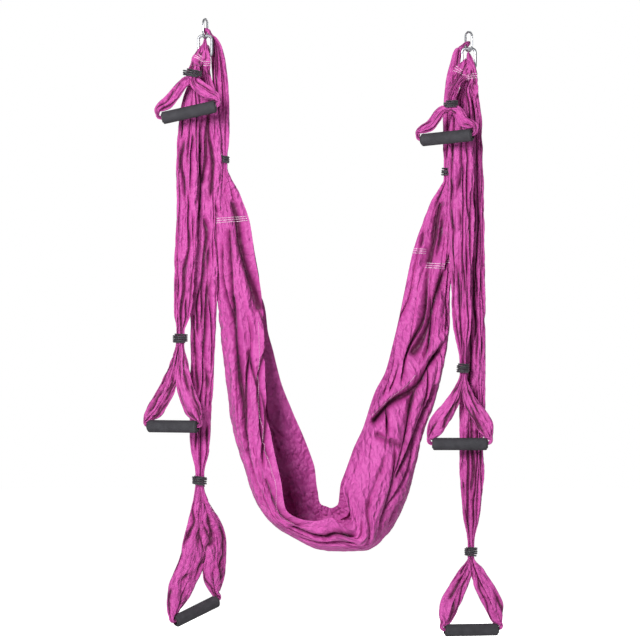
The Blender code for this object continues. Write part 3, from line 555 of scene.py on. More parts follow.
# Smooth random curves: the paces of their parts, how much a pace may vary, and the sum's size
WAVE_PARTS = (1.0, 1.9, 3.3)
WAVE_PACE = (0.7, 1.3)
WAVE_SIZE = 1.6


def waves(rng, travel, count, length):
    """Smooth random curves along the cloth, one for each column, between about -1 and 1."""
    found = np.zeros((len(travel), count))
    for part in WAVE_PARTS:
        phase = rng.uniform(0.0, math.tau, count)
        pace = rng.uniform(*WAVE_PACE, count) * part * math.tau / length
        found += np.sin(travel[:, None] * pace + phase) / part
    return found / WAVE_SIZE


def eased(share):
    return share * share * (3 - 2 * share)


# Cells of the random lattice across and along the cloth, before it repeats
CELLS_ACROSS = 61
CELLS_ALONG = 257


def lattice(rng, across, along):
    """Smooth random numbers from 0 to 1 over the flat cloth, one a unit cell."""
    table = rng.random((CELLS_ACROSS, CELLS_ALONG))
    i, j = np.floor(across).astype(int), np.floor(along).astype(int)
    a, b = eased(across - i), eased(along - j)
    near, far = i % CELLS_ACROSS, (i + 1) % CELLS_ACROSS
    low, high = (
        table[near, row % CELLS_ALONG] * (1 - a) + table[far, row % CELLS_ALONG] * a
        for row in (j, j + 1)
    )
    return low * (1 - b) + high * b


# The finer lattice in the wandering lines: its share, and how much finer across and along
FINER_SHARE = 0.3
FINER = (2.1, 1.7)


def valleys(rng, across, along, sharpness):
    """Narrow wandering lines, 1 on the line and 0 away from it, that meet and part."""
    level = (1.0 - FINER_SHARE) * lattice(rng, across, along)
    level = level + FINER_SHARE * lattice(rng, across * FINER[0], along * FINER[1])
    return np.clip(1.0 - np.abs(2.0 * level - 1.0), 0.0, 1.0) ** sharpness


# The most that crinkles may rise, as a share of the creases' depth, then each crinkle's size,
# slant and share of the height, how much longer than wide they are, and their sharpness
CRINKLE_SHARE = 0.24
CRINKLES = ((0.034, 0.6, 0.36), (0.026, -0.5, 0.30), (0.013, 0.3, 0.20), (0.008, -0.2, 0.14))
CRINKLE_STRETCH = 1.8
CRINKLE_POWER = 3.0


def crinkles(rng, across, along):
    """The height of the fine creases over the flat cloth, from 0 to about 1."""
    height = np.zeros(np.broadcast(across, along).shape)
    for size, slant, weight in CRINKLES:
        over = (across + slant * along) / size
        down = (along - slant * across) / (CRINKLE_STRETCH * size)
        height += weight * valleys(rng, over, down, CRINKLE_POWER)
    return height


def grid_normals(grid):
    along = np.gradient(grid, axis=0)
    across = np.gradient(grid, axis=1)
    normal = np.cross(across, along)
    return normal / np.maximum(np.linalg.norm(normal, axis=-1, keepdims=True), 1e-12)


# The shape of a named crease's side
LINE_POWER = 1.6


def from_lines(lines, across, along):
    """How deep the named creases run at each place of the flat cloth, and how far it is raised."""
    sunk, raised = np.zeros(across.shape), np.zeros(across.shape)
    for strength, width, points in lines:
        near = np.full(across.shape, np.inf)
        for start, end in zip(points[:-1], points[1:]):
            step = end - start
            share = ((across - start[0]) * step[0] + (along - start[1]) * step[1]) / (step @ step)
            share = np.clip(share, 0.0, 1.0)
            gap = np.hypot(across - start[0] - share * step[0], along - start[1] - share * step[1])
            near = np.minimum(near, gap)
        reach = abs(strength) * np.exp(-((near / width) ** LINE_POWER))
        if strength > 0:
            sunk = np.maximum(sunk, reach)
        else:
            raised = np.maximum(raised, reach)
    return sunk, raised


# Creases of the sling: how much wider they are where it is gathered, how its back panel differs
# (smoother, with less painted crease shade), and how much the shallow folds add to the painted
# crease shade
GATHERED_WIDER = 1.4
BACK_FROM = 0.5
BACK_FADE = 0.1
BACK_SMOOTHER = 0.45
BACK_LESS_SHADE = 0.7
SHADE_FROM_SHALLOW = 0.45
# Hems: width and step, how far in from the edge the cloth lies still, and the lap of a closed one
HEM_WIDTH = 0.016
HEM_STEP = 0.0025
HEM_STILL_WIDTH = 0.018
HEM_STILL_SHARE = 0.85
HEM_LAP = 0.16
HEM_TUCK_SHARE = 0.14
# Sharp creases: how far each strays from even spacing, how far and in what range its strength
# varies, how lopsided it may be, the shape of its side, and the reach of its drift and strength
CREASE_STRAY = 0.33
CREASE_STRENGTH = 1.15
CREASE_STRENGTH_RANGE = (-0.35, 0.45)
CREASE_SKEW = 0.6
CREASE_POWER = 1.4
SLIDE_REACH = 2.2
STRENGTH_REACH = 1.3
# Shallow folds: sharpness, slant, cells a fold across and along for how they come and go and for
# the swell, the range of their depth, the deepest, and the cells of the sideways lean
FOLD_POWER = 3.0
FOLD_SLANT = 0.02
COME_AND_GO = (0.45, 1.5)
SWELL_CELLS = (0.28, 2.5)
FOLD_RANGE = (0.25, 1.1)
FOLD_MOST = 0.9
LEAN_CELLS = 0.6
SLIDE_SHARE = 0.25
# Offsets that keep the swell and the lean apart from the folds
SWELL_OFFSET = 3.1
LEAN_OFFSET = 7.3


def sharp_creases(rng, look, travel, u, gathered):
    """How deep the sharp creases run at each place, and how far they all slide sideways."""
    count = look["creases"]
    spread = (np.arange(count) + 0.5 + rng.uniform(-CREASE_STRAY, CREASE_STRAY, count)) / count
    slide = look["slide"] * waves(rng, travel, 1, look["reach"] * SLIDE_REACH)
    at = spread + look["drift"] / count * waves(rng, travel, count, look["reach"]) + slide
    wave = waves(rng, travel, count, look["reach"] * STRENGTH_REACH)
    wave = wave + rng.uniform(*CREASE_STRENGTH_RANGE, count)
    strength = eased(np.clip(look["strong"] + CREASE_STRENGTH * wave, 0.0, 1.0))
    narrow = rng.uniform(*look["narrow"], count) / count
    skew = rng.uniform(-CREASE_SKEW, CREASE_SKEW, count)
    sharp = np.zeros((len(travel), u.shape[1]))
    for k in range(count):
        q = (u - at[:, k : k + 1]) / narrow[k]
        if gathered is not None:
            q = q / (1.0 + GATHERED_WIDER * gathered[:, None])
        q = q / np.where(q > 0, 1.0 + skew[k], 1.0 - skew[k])
        sharp = np.maximum(sharp, strength[:, k : k + 1] * np.exp(-np.abs(q) ** CREASE_POWER))
    return sharp, slide


def shallow_folds(rng, look, across, along):
    """How deep the shallow folds run, and how far the cloth swells between them."""
    length = look["fold_length"]
    middle = valleys(rng, across, along / length + FOLD_SLANT * across, FOLD_POWER)
    broad = lattice(rng, across * COME_AND_GO[0], along / (COME_AND_GO[1] * length))
    swell = lattice(rng, across * SWELL_CELLS[0] + SWELL_OFFSET, along / (SWELL_CELLS[1] * length))
    return look["middle"] * middle * (FOLD_RANGE[0] + FOLD_RANGE[1] * broad), swell


def drape(shape, centre, side, deep, outline, depth, seed, look, lines=(), gathered=None):
    """Add to a shape a gathered cloth over an outline at each station, drawn in along creases that
    wander and end, with shallower folds and crinkles between them, and the painted shade that
    darkens its colour by how deep in a crease each point lies. Gives its grid of points."""
    rng = np.random.default_rng(seed)
    count, columns = len(centre), look["columns"]
    travel, arc = lengths(centre), lengths(outline)
    total = arc[:, -1:]
    tangent = unit(np.gradient(outline, axis=1))
    u = np.linspace(0.0, 1.0, columns)[None]
    along = travel[:, None]

    sharp, slide = sharp_creases(rng, look, travel, u, gathered)
    across = u * look["folds"] + SLIDE_SHARE * look["folds"] * slide
    middle, swell = shallow_folds(rng, look, across, along)
    sunk, raised = from_lines(lines, u * total, np.broadcast_to(along, sharp.shape))
    sharp = np.maximum(sharp * (1.0 - raised), sunk)
    middle = middle * (1.0 - raised)
    shallow = (1.0 - np.clip(middle, 0.0, FOLD_MOST)) * (1.0 - look["swell"] * swell**2)
    sink = 1.0 - (1.0 - sharp) * shallow
    # Painted shade: how much each point's colour is darkened, fully in the sharp creases and
    # partly in the shallow folds
    crease_shade = sharp + (1.0 - sharp) * SHADE_FROM_SHALLOW * (1.0 - shallow)
    if gathered is not None:
        # The smooth back panel gets shallower creases and less painted shade
        smooth = (1.0 - gathered[:, None]) * np.clip((u - BACK_FROM) / BACK_FADE, 0.0, 1.0)
        sink = sink * (1.0 - BACK_SMOOTHER * smooth)
        crease_shade = crease_shade * (1.0 - BACK_LESS_SHADE * smooth)
    sink = sink * depth[:, None]
    lean = lattice(rng, across * LEAN_CELLS + LEAN_OFFSET, along / look["reach"])
    lean = look["lean"] * (2.0 * lean - 1.0)
    where = np.clip(u * total + lean * sink, 0.0, total)
    flat = np.stack(np.broadcast_arrays((u - 0.5) * total, along), axis=-1)

    plane = np.empty((count, columns, 2))
    inward = np.empty((count, columns, 2))
    for i in range(count):
        for axis in range(2):
            plane[i, :, axis] = np.interp(where[i], arc[i], outline[i, :, axis])
            inward[i, :, axis] = np.interp(where[i], arc[i], tangent[i, :, axis])
    inward = np.stack([-inward[..., 1], inward[..., 0]], axis=-1)
    fine = crinkles(rng, *np.broadcast_arrays(u * total, along))
    fine = fine * np.minimum(look["crinkle"], CRINKLE_SHARE * depth)[:, None]
    edge = np.minimum(u, 1.0 - u) * total
    if gathered is not None:
        still = np.clip(1.0 - edge / HEM_STILL_WIDTH, 0.0, 1.0) * (1.0 - gathered[:, None])
        sink = sink * (1.0 - HEM_STILL_SHARE * still)
        fine = fine * (1.0 - HEM_STILL_SHARE * still)
    hem = look.get("hem_height", 0.0) * np.clip((HEM_WIDTH - edge) / HEM_STEP, 0.0, 1.0)
    plane += inward * (sink + fine - hem)[..., None]
    grid = centre[:, None] + side[:, None] * plane[..., :1] + deep[:, None] * plane[..., 1:]
    shape.add(grid, CLOTH, flat, crease_shade)
    return grid


OUTLINE_POINTS = 96


def ovals(half_width, half_depth):
    """Closed outlines, from the back round the front and on to the back again, where the last
    hem laps over the first."""
    angle = math.pi / 2 + np.linspace(-HEM_LAP, math.tau + HEM_LAP, OUTLINE_POINTS)
    tuck = 1.0 - HEM_TUCK_SHARE * np.clip(1.0 - np.linspace(0.0, 8.0, OUTLINE_POINTS), 0.0, 1.0)
    return np.stack(
        [half_width[:, None] * np.cos(angle) * tuck, half_depth[:, None] * np.sin(angle) * tuck],
        axis=-1,
    )


# How far along X a path may start for its rings to be laid out from X
ALONG_X = 0.8


def tube(points, radius, sides):
    """Rings of points round a path."""
    points = np.array(points, float)
    tangent = unit(np.gradient(points, axis=0))
    side = np.cross(tangent[0], X if abs(tangent[0][0]) < ALONG_X else Z)
    sides_found = []
    for direction in tangent:
        side = side - direction * np.dot(side, direction)
        side = side / np.linalg.norm(side)
        sides_found.append(side)
    side = np.array(sides_found)
    other = np.cross(tangent, side)
    angle = np.linspace(0.0, math.tau, sides, endpoint=False)
    ring = side[:, None] * np.cos(angle)[:, None] + other[:, None] * np.sin(angle)[:, None]
    return points[:, None] + radius * ring


# Stitching

# A stitch's length, the gap after it, its thread, its rise over the cloth in thread radii, its
# sides, the rows and the gap between them; then how far below each carabiner's bend the straps
# are stitched, and the column's row that the eye's ends tuck into
STITCH = 0.0042
STITCH_GAP = 0.0010
STITCH_RADIUS = 0.0008
STITCH_RISE = (0.0, 0.9, 1.1, 0.9, 0.0)
STITCH_SIDES = 5
STITCH_ROWS = 3
STITCH_ROW = 0.0058
STITCH_DROP = {"short": 0.009, "medium": 0.027, "long": 0.024}
FOOT_ROW = {"short": 5, "medium": 4, "long": 4}


def stitches(shape, path, out, radius):
    """A line of short stitches that lie on the cloth."""
    at = lengths(path)
    lift = radius * np.array(STITCH_RISE)
    for begin in np.arange(0.0, at[-1] - STITCH, STITCH + STITCH_GAP):
        spots = np.linspace(begin, begin + STITCH, len(lift))
        points = [
            np.interp(spots, at, path[:, axis]) + lift * np.interp(spots, at, out[:, axis])
            for axis in range(3)
        ]
        shape.add(tube(np.stack(points, axis=-1), radius, STITCH_SIDES), THREAD, caps=True)


def on_grid(grid, rows, columns):
    """Points of a grid at rows and columns that may lie between its own."""
    i = np.clip(np.floor(rows).astype(int), 0, grid.shape[0] - 2)
    j = np.clip(np.floor(columns).astype(int), 0, grid.shape[1] - 2)
    a, b = (rows - i)[:, None], (columns - j)[:, None]
    upper = grid[i, j] * (1 - b) + grid[i, j + 1] * b
    lower = grid[i + 1, j] * (1 - b) + grid[i + 1, j + 1] * b
    return upper * (1 - a) + lower * a


def stitch_line(shape, grid, rows, columns, radius=STITCH_RADIUS):
    """A line of stitches along a way over the cloth."""
    normals = grid_normals(grid)
    stitches(shape, on_grid(grid, rows, columns), on_grid(normals, rows, columns), radius)


def stitch_rows(shape, grid, row, columns):
    """Rows of stitches across the cloth."""
    travel = np.linalg.norm(np.diff(grid[:, grid.shape[1] // 2], axis=0), axis=1).mean()
    across = np.arange(*columns, dtype=float)
    for line in range(STITCH_ROWS):
        level = np.full(len(across), min(row + line * STITCH_ROW / travel, len(grid) - 1.0))
        stitch_line(shape, grid, level, across)


# Straps

# Spacing of the straps' and legs' rows, how deep the legs' folds go, and how each cloth is creased
RING_SPACING = 0.0045
LEG_SPACING = 0.0036
LEG_FOLD_SHARE = 0.72
STRAP_LOOK = {
    "columns": 160, "creases": 17, "narrow": (0.18, 0.55), "drift": 0.55, "slide": 0.02,
    "reach": 0.30, "folds": 17.0, "fold_length": 0.22, "middle": 0.45, "lean": 0.8,
    "crinkle": 0.0024, "swell": 0.22, "strong": 0.62,
}
LEG_LOOK = {
    **STRAP_LOOK, "columns": 84, "creases": 9, "reach": 0.16, "folds": 9.0, "fold_length": 0.12,
}
EYE_LOOK = {
    **STRAP_LOOK, "columns": 72, "creases": 9, "reach": 0.06, "folds": 8.0, "fold_length": 0.03,
    "slide": 0.0, "crinkle": 0.0004, "lean": 0.4,
}
SLING_LOOK = {
    "columns": 290, "creases": 14, "narrow": (0.08, 0.28), "drift": 0.8, "slide": 0.04,
    "reach": 0.60, "folds": 15.0, "fold_length": 0.36, "middle": 0.34, "lean": 0.7,
    "crinkle": 0.0038, "swell": 0.26, "strong": 0.42, "hem_height": 0.0014,
}
# The columns are fuller away from their tie: how much in depth, its share in width, and from where
COLUMN_FULLER = 1.12
COLUMN_WIDER_SHARE = 0.3
COLUMN_FULL_FROM = 0.03


def carabiner_bottom(side, level="lower"):
    """The middle of a carabiner's bottom bend, on the rod's centre line."""
    low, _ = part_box(f"{side}_{level}_body")
    rod = LOWER_ROD if level == "lower" else UPPER_ROD
    return np.array((SIGN[side] * HANG_HALF_SPAN, 0.0, low[2] + rod / 2))


def stations(rows, spacing):
    """Places, half widths and half depths, resampled evenly along the path."""
    rows = flow(rows, spacing)
    return rows[:, :3], rows[:, 3], rows[:, 4]


# The cloth folded over a carabiner's bend, from the viewer's side over it to the back: across the
# rod, above it, half width, half thickness, and how far it has moved towards its foot (a share)
OVER_ROD = (
    (-0.0106, -0.0060, 0.0058, 0.0048, 0.62),
    (-0.0106, 0.0020, 0.0050, 0.0052, 0.42),
    (-0.0084, 0.0100, 0.0043, 0.0062, 0.18),
    (0.0000, 0.0138, 0.0040, 0.0078, 0.0),
    (0.0078, 0.0098, 0.0040, 0.0062, 0.0),
    (0.0096, 0.0010, 0.0042, 0.0050, 0.0),
    (0.0086, -0.0080, 0.0044, 0.0044, 0.25),
)
# The foot's half thickness and its share of the column's half width; then how far below the rod
# the eye's creases change, their depth level with it and how much that grows (shares), the eyes'
# sizes, and how much they bulge and rise
OVER_ROD_FOOT = 0.0028
OVER_ROD_FOOT_SHARE = 0.86
EYE_CREASE_FADE = 0.020
EYE_CREASE_DEPTH = (0.5, 0.4)
EYE_SIZE = {"short": 1.25, "medium": 1.1, "long": 1.1}
EYE_BULGE = {"short": (1.0, 1.0), "medium": (1.1, 1.3), "long": (1.35, 2.1)}
OVER_ROD_SPACING = 0.0012


def fold_over(shape, rod, lateral, front, up, size, seed, foot, fuller=1.0, rise=1.0):
    """Add to a shape a gathered band of cloth folded over a rod, and give its grid of points. Both
    ends run down to a foot, a place and a half width, and tuck into the cloth there. The band may
    bulge and rise above the rod."""
    end, half = foot
    last = (*end, half * OVER_ROD_FOOT_SHARE, OVER_ROD_FOOT)
    rows = [last]
    for across, above, wide, thick, moved in OVER_ROD:
        place = rod + front * across * size + up * above * size * (rise if above > 0 else 1.0)
        place = place + lateral * (((end - rod) @ lateral) * moved)
        wide = wide * size * fuller
        rows.append((*place, wide + (half - wide) * moved, thick * size * fuller))
    rows.append(last)
    centre, wide, thick = stations(rows, OVER_ROD_SPACING)
    tangent = unit(np.gradient(centre, axis=0))
    sides = unit(lateral - tangent * (tangent @ lateral)[:, None])
    out = np.cross(tangent, sides)
    below = np.clip(-((centre - rod) @ up) / EYE_CREASE_FADE, -0.5, 1.0)
    depth = thick * (EYE_CREASE_DEPTH[0] + EYE_CREASE_DEPTH[1] * below)
    return drape(shape, centre, sides, out, ovals(wide, thick), depth, seed, EYE_LOOK)


def column_rows(label):
    """The cloth from inside its eye down through the tie: place, half width, half depth."""
    side, name = label.split("_")
    rod = carabiner_bottom(side)
    rod = rod + X * (LANES[name] * SIGN[side] * EYE_PITCH)
    shift, layer = LAYERS[name]
    column = COLUMN_PIXELS[label]
    goal = from_pixels(column[0][0], column[0][1], 0.0)
    rows = []
    straight = NECK_DROP * NECK_STEPS[0][0]
    for drop, wide, deep, moved in NECK_STEPS:
        down = NECK_DROP * drop
        share = (down - straight) / (rod[2] - goal[2] - straight)
        lean = (goal[0] - rod[0]) * max(0.0, share)
        middle = (rod[0] + lean, shift * moved, rod[2] - down)
        half = NECK_HALF_WIDTH * wide * (1.0 + (NECK_FULLER[name] - 1.0) * moved)
        rows.append((*middle, half, NECK_HALF_DEPTH * deep))
    tie_height = TIE_PIXELS[label][0]
    for across, down, wide, deep, moved in column:
        middle = from_pixels(across, down, shift + (layer - shift) * moved)
        free = min(1.0, abs(down - tie_height) * PIXEL / COLUMN_FULL_FROM)
        fuller = 1.0 + (COLUMN_FULLER - 1.0) * free
        wider = 1.0 + COLUMN_WIDER_SHARE * (fuller - 1.0)
        rows.append((*middle, wide * PIXEL * wider, deep * PIXEL * fuller))
    return rod, rows


def tie_place(label):
    """The middle of a strap's tie, and the half width and half depth of the cloth there."""
    shift, layer = LAYERS[label.split("_")[1]]
    across, _, wide, deep, moved = COLUMN_PIXELS[label][-1]
    place = from_pixels(across, TIE_PIXELS[label][0], shift + (layer - shift) * moved)
    return place, wide * PIXEL, deep * PIXEL


def loop_rows(label):
    """The two legs and the bar between them, as rows of place, side, half width, half depth."""
    _, layer = LAYERS[label.split("_")[1]]
    tie_height = TIE_PIXELS[label][0]
    tie, half_neck, half_depth = tie_place(label)
    across, down, tilt, yaw, leg = GRIP_PIXELS[label]
    turn, tilt = math.radians(yaw), math.radians(tilt)
    level = np.array((math.cos(turn), math.sin(turn), 0.0))
    along = level * math.cos(tilt) + Z * math.sin(tilt)
    up = -level * math.sin(tilt) + Z * math.cos(tilt)
    deep = np.cross(along, up)
    grip = from_pixels(across, down, layer)
    knot = ((tie - grip) @ along, (tie - grip) @ up)
    wide = leg * PIXEL
    end = CORE_LENGTH / 2 + TURN_CLEARANCE
    turn = TURN_HALF_WIDTH + TURN_CLEARANCE
    outer = end + turn
    top = knot[1] - (COLUMN_PIXELS[label][-1][1] - tie_height) * PIXEL
    left = []
    for height, (out, width, thick) in ((knot[1], TIE_LEG_SHARES), (top, UNDER_TIE_SHARES)):
        left.append((knot[0] - half_neck * out, height, half_neck * width, half_depth * thick))
    apex, apex_half, lower, lower_half, reach = LOOP_PIXELS[label]
    for lean, height, half, out in (
        (LEG_LEAN_SHARES[2], apex, apex_half, apex_half * LEG_TOUCH_SHARE),
        (LEG_LEAN_SHARES[3], lower, lower_half, reach - lower_half),
    ):
        level = knot[1] * (down - height) / (down - tie_height)
        left.append((knot[0] * lean - out * PIXEL, level, half * PIXEL, LEG_HALF_DEPTH))
    foot = wide * LEG_FOOT_SHARE
    foot_middle = -outer - LEG_SPREAD + foot - TURN_HALF_WIDTH
    left.append((foot_middle, LEG_ABOVE_GRIP, foot, LEG_HALF_DEPTH))
    left.append((-outer, BAR_REST + turn, TURN_HALF_WIDTH, TURN_HALF_DEPTH))
    corner = turn * math.sqrt(0.5)
    left.append((-end - corner, BAR_REST + turn - corner, TURN_HALF_WIDTH, TURN_HALF_DEPTH))
    left.append((-end, BAR_REST, TURN_HALF_WIDTH, BAR_HALF))
    right = [
        (2 * knot[0] * share - row[0], *row[1:]) for row, share in zip(left, LEG_LEAN_SHARES)
    ]
    rows = left + [(0.0, BAR_REST, BAR_HALF, BAR_HALF)] + right[::-1]
    lean = (tie - grip) @ deep
    found = []
    for x, z, width, thick in rows:
        if z >= top:
            place = tie + X * (x - knot[0]) + Z * (z - knot[1])
        else:
            risen = max(0.0, (z - LEG_ABOVE_GRIP) / (knot[1] - LEG_ABOVE_GRIP))
            place = grip + along * x + up * z + deep * (lean * risen)
        found.append((*place, width, thick))
    return found, grip, along, up


def seed_of(label):
    return sum(ord(letter) * (i + 1) for i, letter in enumerate(label))


def strap(label):
    """One hand strap's cloth: the eye, the gathered column, the two legs and the bar."""
    name = label.split("_")[1]
    seed = seed_of(label)
    shape = Shape()
    rod, rows = column_rows(label)
    centre, wide, deep = stations(rows, RING_SPACING)
    sides, backs = (np.tile(axis, (len(centre), 1)) for axis in (X, Y))
    drape(shape, centre, sides, backs, ovals(wide, deep), deep, seed, STRAP_LOOK)
    foot = rows[FOOT_ROW[name]]
    foot = (np.array(foot[:3]), foot[3])
    over = fold_over(shape, rod, X, Y, Z, EYE_SIZE[name], seed + 1, foot, *EYE_BULGE[name])
    level = int(np.argmax(over[:, over.shape[1] // 2, 2] > rod[2] - STITCH_DROP[name]))
    stitch_rows(shape, over, level, (over.shape[1] // 5, over.shape[1] - over.shape[1] // 5))

    rows, _, along, up = loop_rows(label)
    centre, wide, deep = stations(rows, LEG_SPACING)
    tangent = unit(np.gradient(centre, axis=0))
    back = np.cross(along, up)
    sides = unit(np.cross(tangent, back[None]))
    backs = np.cross(sides, tangent)
    depth = LEG_FOLD_SHARE * np.minimum(deep, wide)
    drape(shape, centre, sides, backs, ovals(wide, deep), depth, seed + 2, LEG_LOOK)
    cloth = shape.build(f"{label}_cloth")
    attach(cloth, f"{label}_strap")
    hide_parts(f"{label}_strap")


# The sling


# The eyes at the hammock's ends: rise above the carabiner's bend, tilt, half width, size, bulge
TAIL_EYE_RISE = 0.017
TAIL_EYE_TILT_DEG = 30.0
TAIL_EYE_HALF = 0.004
TAIL_EYE_HALF_SHARE = 0.8
TAIL_EYE_SIZE = 0.62
TAIL_EYE_BULGE = 1.5
TAIL_EYE_SEED = 5
SLING_SEED = 77
SLING_SPACING = 0.0038
# How deep the sling's creases go: a share of its smaller half size, and at most
SLING_FOLD_SHARE = 0.85
SLING_FOLD_DEPTH = 0.030
SEAM_POINTS = 60
# The gathered section's ends as shares of pi, and the spacing of the section's points
RING_ENDS = (0.04, 1.96)
SECTION_SPACING = 0.02


def sling_outline(opened, front_hem):
    """The sheet's section from the front hem round the outer edge to the back hem, as shares."""
    half = OPEN_SECTION_SHARES[::-1]
    drop = 2.0 * (1.0 - front_hem)
    front = [(-side, level - drop * max(0.0, (level + 1.0) / 2.0)) for side, level in half]
    shape = np.array(front + [(side, level) for side, level in OPEN_SECTION_SHARES[1:]])
    angle = np.linspace(*RING_ENDS, len(shape)) * math.pi
    ring = np.stack([-np.sin(angle), np.cos(angle)], axis=-1)
    mixed = ring + (shape - ring) * opened
    found = flow(np.column_stack([mixed, np.zeros(len(mixed))]), SECTION_SPACING)
    places = np.linspace(0.0, len(found) - 1.0, OUTLINE_POINTS)
    index = np.arange(len(found))
    return np.stack([np.interp(places, index, found[:, axis]) for axis in (0, 1)], axis=-1)


def tail_rows(side):
    """The gathered end above its tie, from the carabiner down."""
    level = JOINTS[f"{side}_upper_gate_hinge"]
    normal = np.array(level["axis"])
    across = np.cross(normal, Z)
    bottom = carabiner_bottom(side, "upper")
    leg = bottom + across * (UPPER_WIDTH / 2 - UPPER_ROD / 2) + Z * TAIL_EYE_RISE
    tilt = math.radians(TAIL_EYE_TILT_DEG)
    out = across * math.cos(tilt) - Z * math.sin(tilt)
    start = leg + out * EYE_REACH
    half = TAIL_EYE_HALF * TAIL_EYE_HALF_SHARE
    rows = [(*start, half, half)]
    for x, z, wide, deep, back in TAIL_PIXELS[side]:
        depth = TAIL_DEPTH + TAIL_SET_BACK * back
        rows.append((*from_pixels(x, z, depth), wide * PIXEL, deep * PIXEL))
    return rows, leg, out, normal


# Creases that the sling's front shows in the picture, and ridges between them (below zero):
# strength, half width, and picture points
SLING_CREASES = (
    (1.0, 0.011, ((236, 205), (243, 240), (252, 275), (261, 307))),
    (0.95, 0.010, ((232, 300), (237, 335), (241.5, 364), (247, 406))),
    (0.75, 0.008, ((226, 232), (228, 270), (227, 300))),
    (-0.8, 0.016, ((229, 215), (236, 260), (245, 300), (250, 345))),
    (1.0, 0.011, ((438, 206), (433, 235), (427, 262))),
    (0.95, 0.010, ((444, 275), (430, 315), (413, 352))),
    (-1.0, 0.012, ((449, 333), (425, 360), (400, 388), (371, 413))),
    (1.0, 0.008, ((444, 348), (424, 374), (402, 396), (374, 421))),
    (-0.8, 0.014, ((420, 250), (412, 300), (400, 350), (388, 385))),
    (-0.8, 0.016, ((398, 420), (385, 450), (368, 490))),
    (1.0, 0.010, ((437, 392), (420, 436), (402, 476))),
    (0.7, 0.008, ((379, 434), (390, 441), (401, 447))),
    (-0.9, 0.018, ((296, 523), (320, 513), (347, 531))),
    (1.0, 0.009, ((295, 527), (310, 533), (326, 535), (348, 529))),
    (0.7, 0.008, ((268, 480), (283, 506), (303, 520))),
    (0.7, 0.007, ((300, 541), (320, 546), (352, 542))),
)
# Rows of stitching across the sling: picture point where they start, columns as shares
SLING_STITCHING = (
    (234.0, 219.0, 0.02, 0.48), (417.0, 252.0, 0.01, 0.14), (432.0, 266.0, 0.15, 0.36),
    (448.0, 260.0, 0.39, 0.48),
)
# The front hem's stitching: distance from the edge, thread, and where it starts and ends; then the
# seam on the right leg
HEM_STITCH = 0.012
HEM_THREAD = 0.0005
HEM_STITCHING = ((256.0, 322.0), (296.0, 526.0))
SEAM_STITCHING = ((371.0, 415.0), (386.0, 402.0), (402.0, 389.0), (416.0, 374.0))


def nearest_front(surface, across, down):
    """The row and column of the sling's front that the picture shows nearest to a point."""
    front = surface[:, : surface.shape[1] // 2]
    goal = from_pixels(across, down, 0.0)
    gap = np.hypot(front[..., 0] - goal[0], front[..., 2] - goal[2])
    return np.unravel_index(np.argmin(gap), gap.shape)


def sling_rows(ends):
    """The sling from eye to eye: place, inward side, half width and depth, how far it has
    opened, and its front hem."""
    rows = [(*row[:3], *X, row[3], row[4], 0.0, 1.0) for row in ends["left"][0]]
    for x0, z0, x1, z1, deep, opened, hem in SLING_PIXELS:
        inner, outer = from_pixels(x0, z0, TAIL_DEPTH), from_pixels(x1, z1, TAIL_DEPTH)
        half = (inner - outer) / 2
        rows.append(
            (*((inner + outer) / 2), *unit(half), np.linalg.norm(half), deep * PIXEL, opened, hem)
        )
    rows += [(*row[:3], *-X, row[3], row[4], 0.0, 1.0) for row in reversed(ends["right"][0])]
    return flow(rows, SLING_SPACING)


def sling_stitching(shape, grid, base, arc):
    """The rows across the sling, the line along its front hem and the seam on its right leg."""
    columns = grid.shape[1]
    for x, z, first, last in SLING_STITCHING:
        row, _ = nearest_front(base, x, z)
        stitch_rows(shape, grid, row - 1, (int(first * columns), int(last * columns)))
    first, last = (nearest_front(base, *point)[0] for point in HEM_STITCHING)
    column = HEM_STITCH / arc[first:last, -1] * (columns - 1)
    stitch_line(shape, grid, np.arange(first, last + 0.0), column, HEM_THREAD)
    seam = np.array([nearest_front(base, *point) for point in SEAM_STITCHING], float)
    ways = np.linspace(0.0, len(seam) - 1.0, SEAM_POINTS)
    rows, column = (np.interp(ways, np.arange(len(seam)), seam[:, axis]) for axis in (0, 1))
    column = column * (columns - 1) / (OUTLINE_POINTS - 1)
    stitch_line(shape, grid, rows, column, HEM_THREAD)


def hammock():
    """The whole sling, from one end's eye round the seat to the other end's eye."""
    shape = Shape()
    ends = {side: tail_rows(side) for side in SIDES}
    rows = sling_rows(ends)
    centre, inward = rows[:, :3], unit(rows[:, 3:6])
    wide, deep, opened, hem = rows[:, 6], rows[:, 7], rows[:, 8], rows[:, 9]
    outline = np.array([sling_outline(share, reach) for share, reach in zip(opened, hem)])
    outline = outline * np.stack([deep, wide], axis=-1)[:, None]
    depth = np.minimum(SLING_FOLD_SHARE * np.minimum(wide, deep), SLING_FOLD_DEPTH)
    backs = np.tile(Y, (len(rows), 1))
    base = centre[:, None] + Y * outline[..., :1] + inward[:, None] * outline[..., 1:]
    travel, arc = lengths(centre), lengths(outline)
    lines = []
    for strength, width, points in SLING_CREASES:
        spots = [nearest_front(base, *point) for point in points]
        lines.append((strength, width, [np.array((arc[spot], travel[spot[0]])) for spot in spots]))
    grid = drape(
        shape, centre, backs, inward, outline, depth, SLING_SEED, SLING_LOOK, lines, 1.0 - opened
    )
    sling_stitching(shape, grid, base, arc)
    for tail, leg, out, normal in (ends[side] for side in SIDES):
        foot = (np.array(tail[1][:3]), tail[1][3] * TAIL_EYE_HALF_SHARE)
        axes = (np.cross(out, normal), normal, -out)
        fold_over(shape, leg, *axes, TAIL_EYE_SIZE, TAIL_EYE_SEED, foot, TAIL_EYE_BULGE)
    cloth = shape.build("hammock_sling")
    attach(cloth, "hammock")
    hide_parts("hammock_cloth")


# Ties


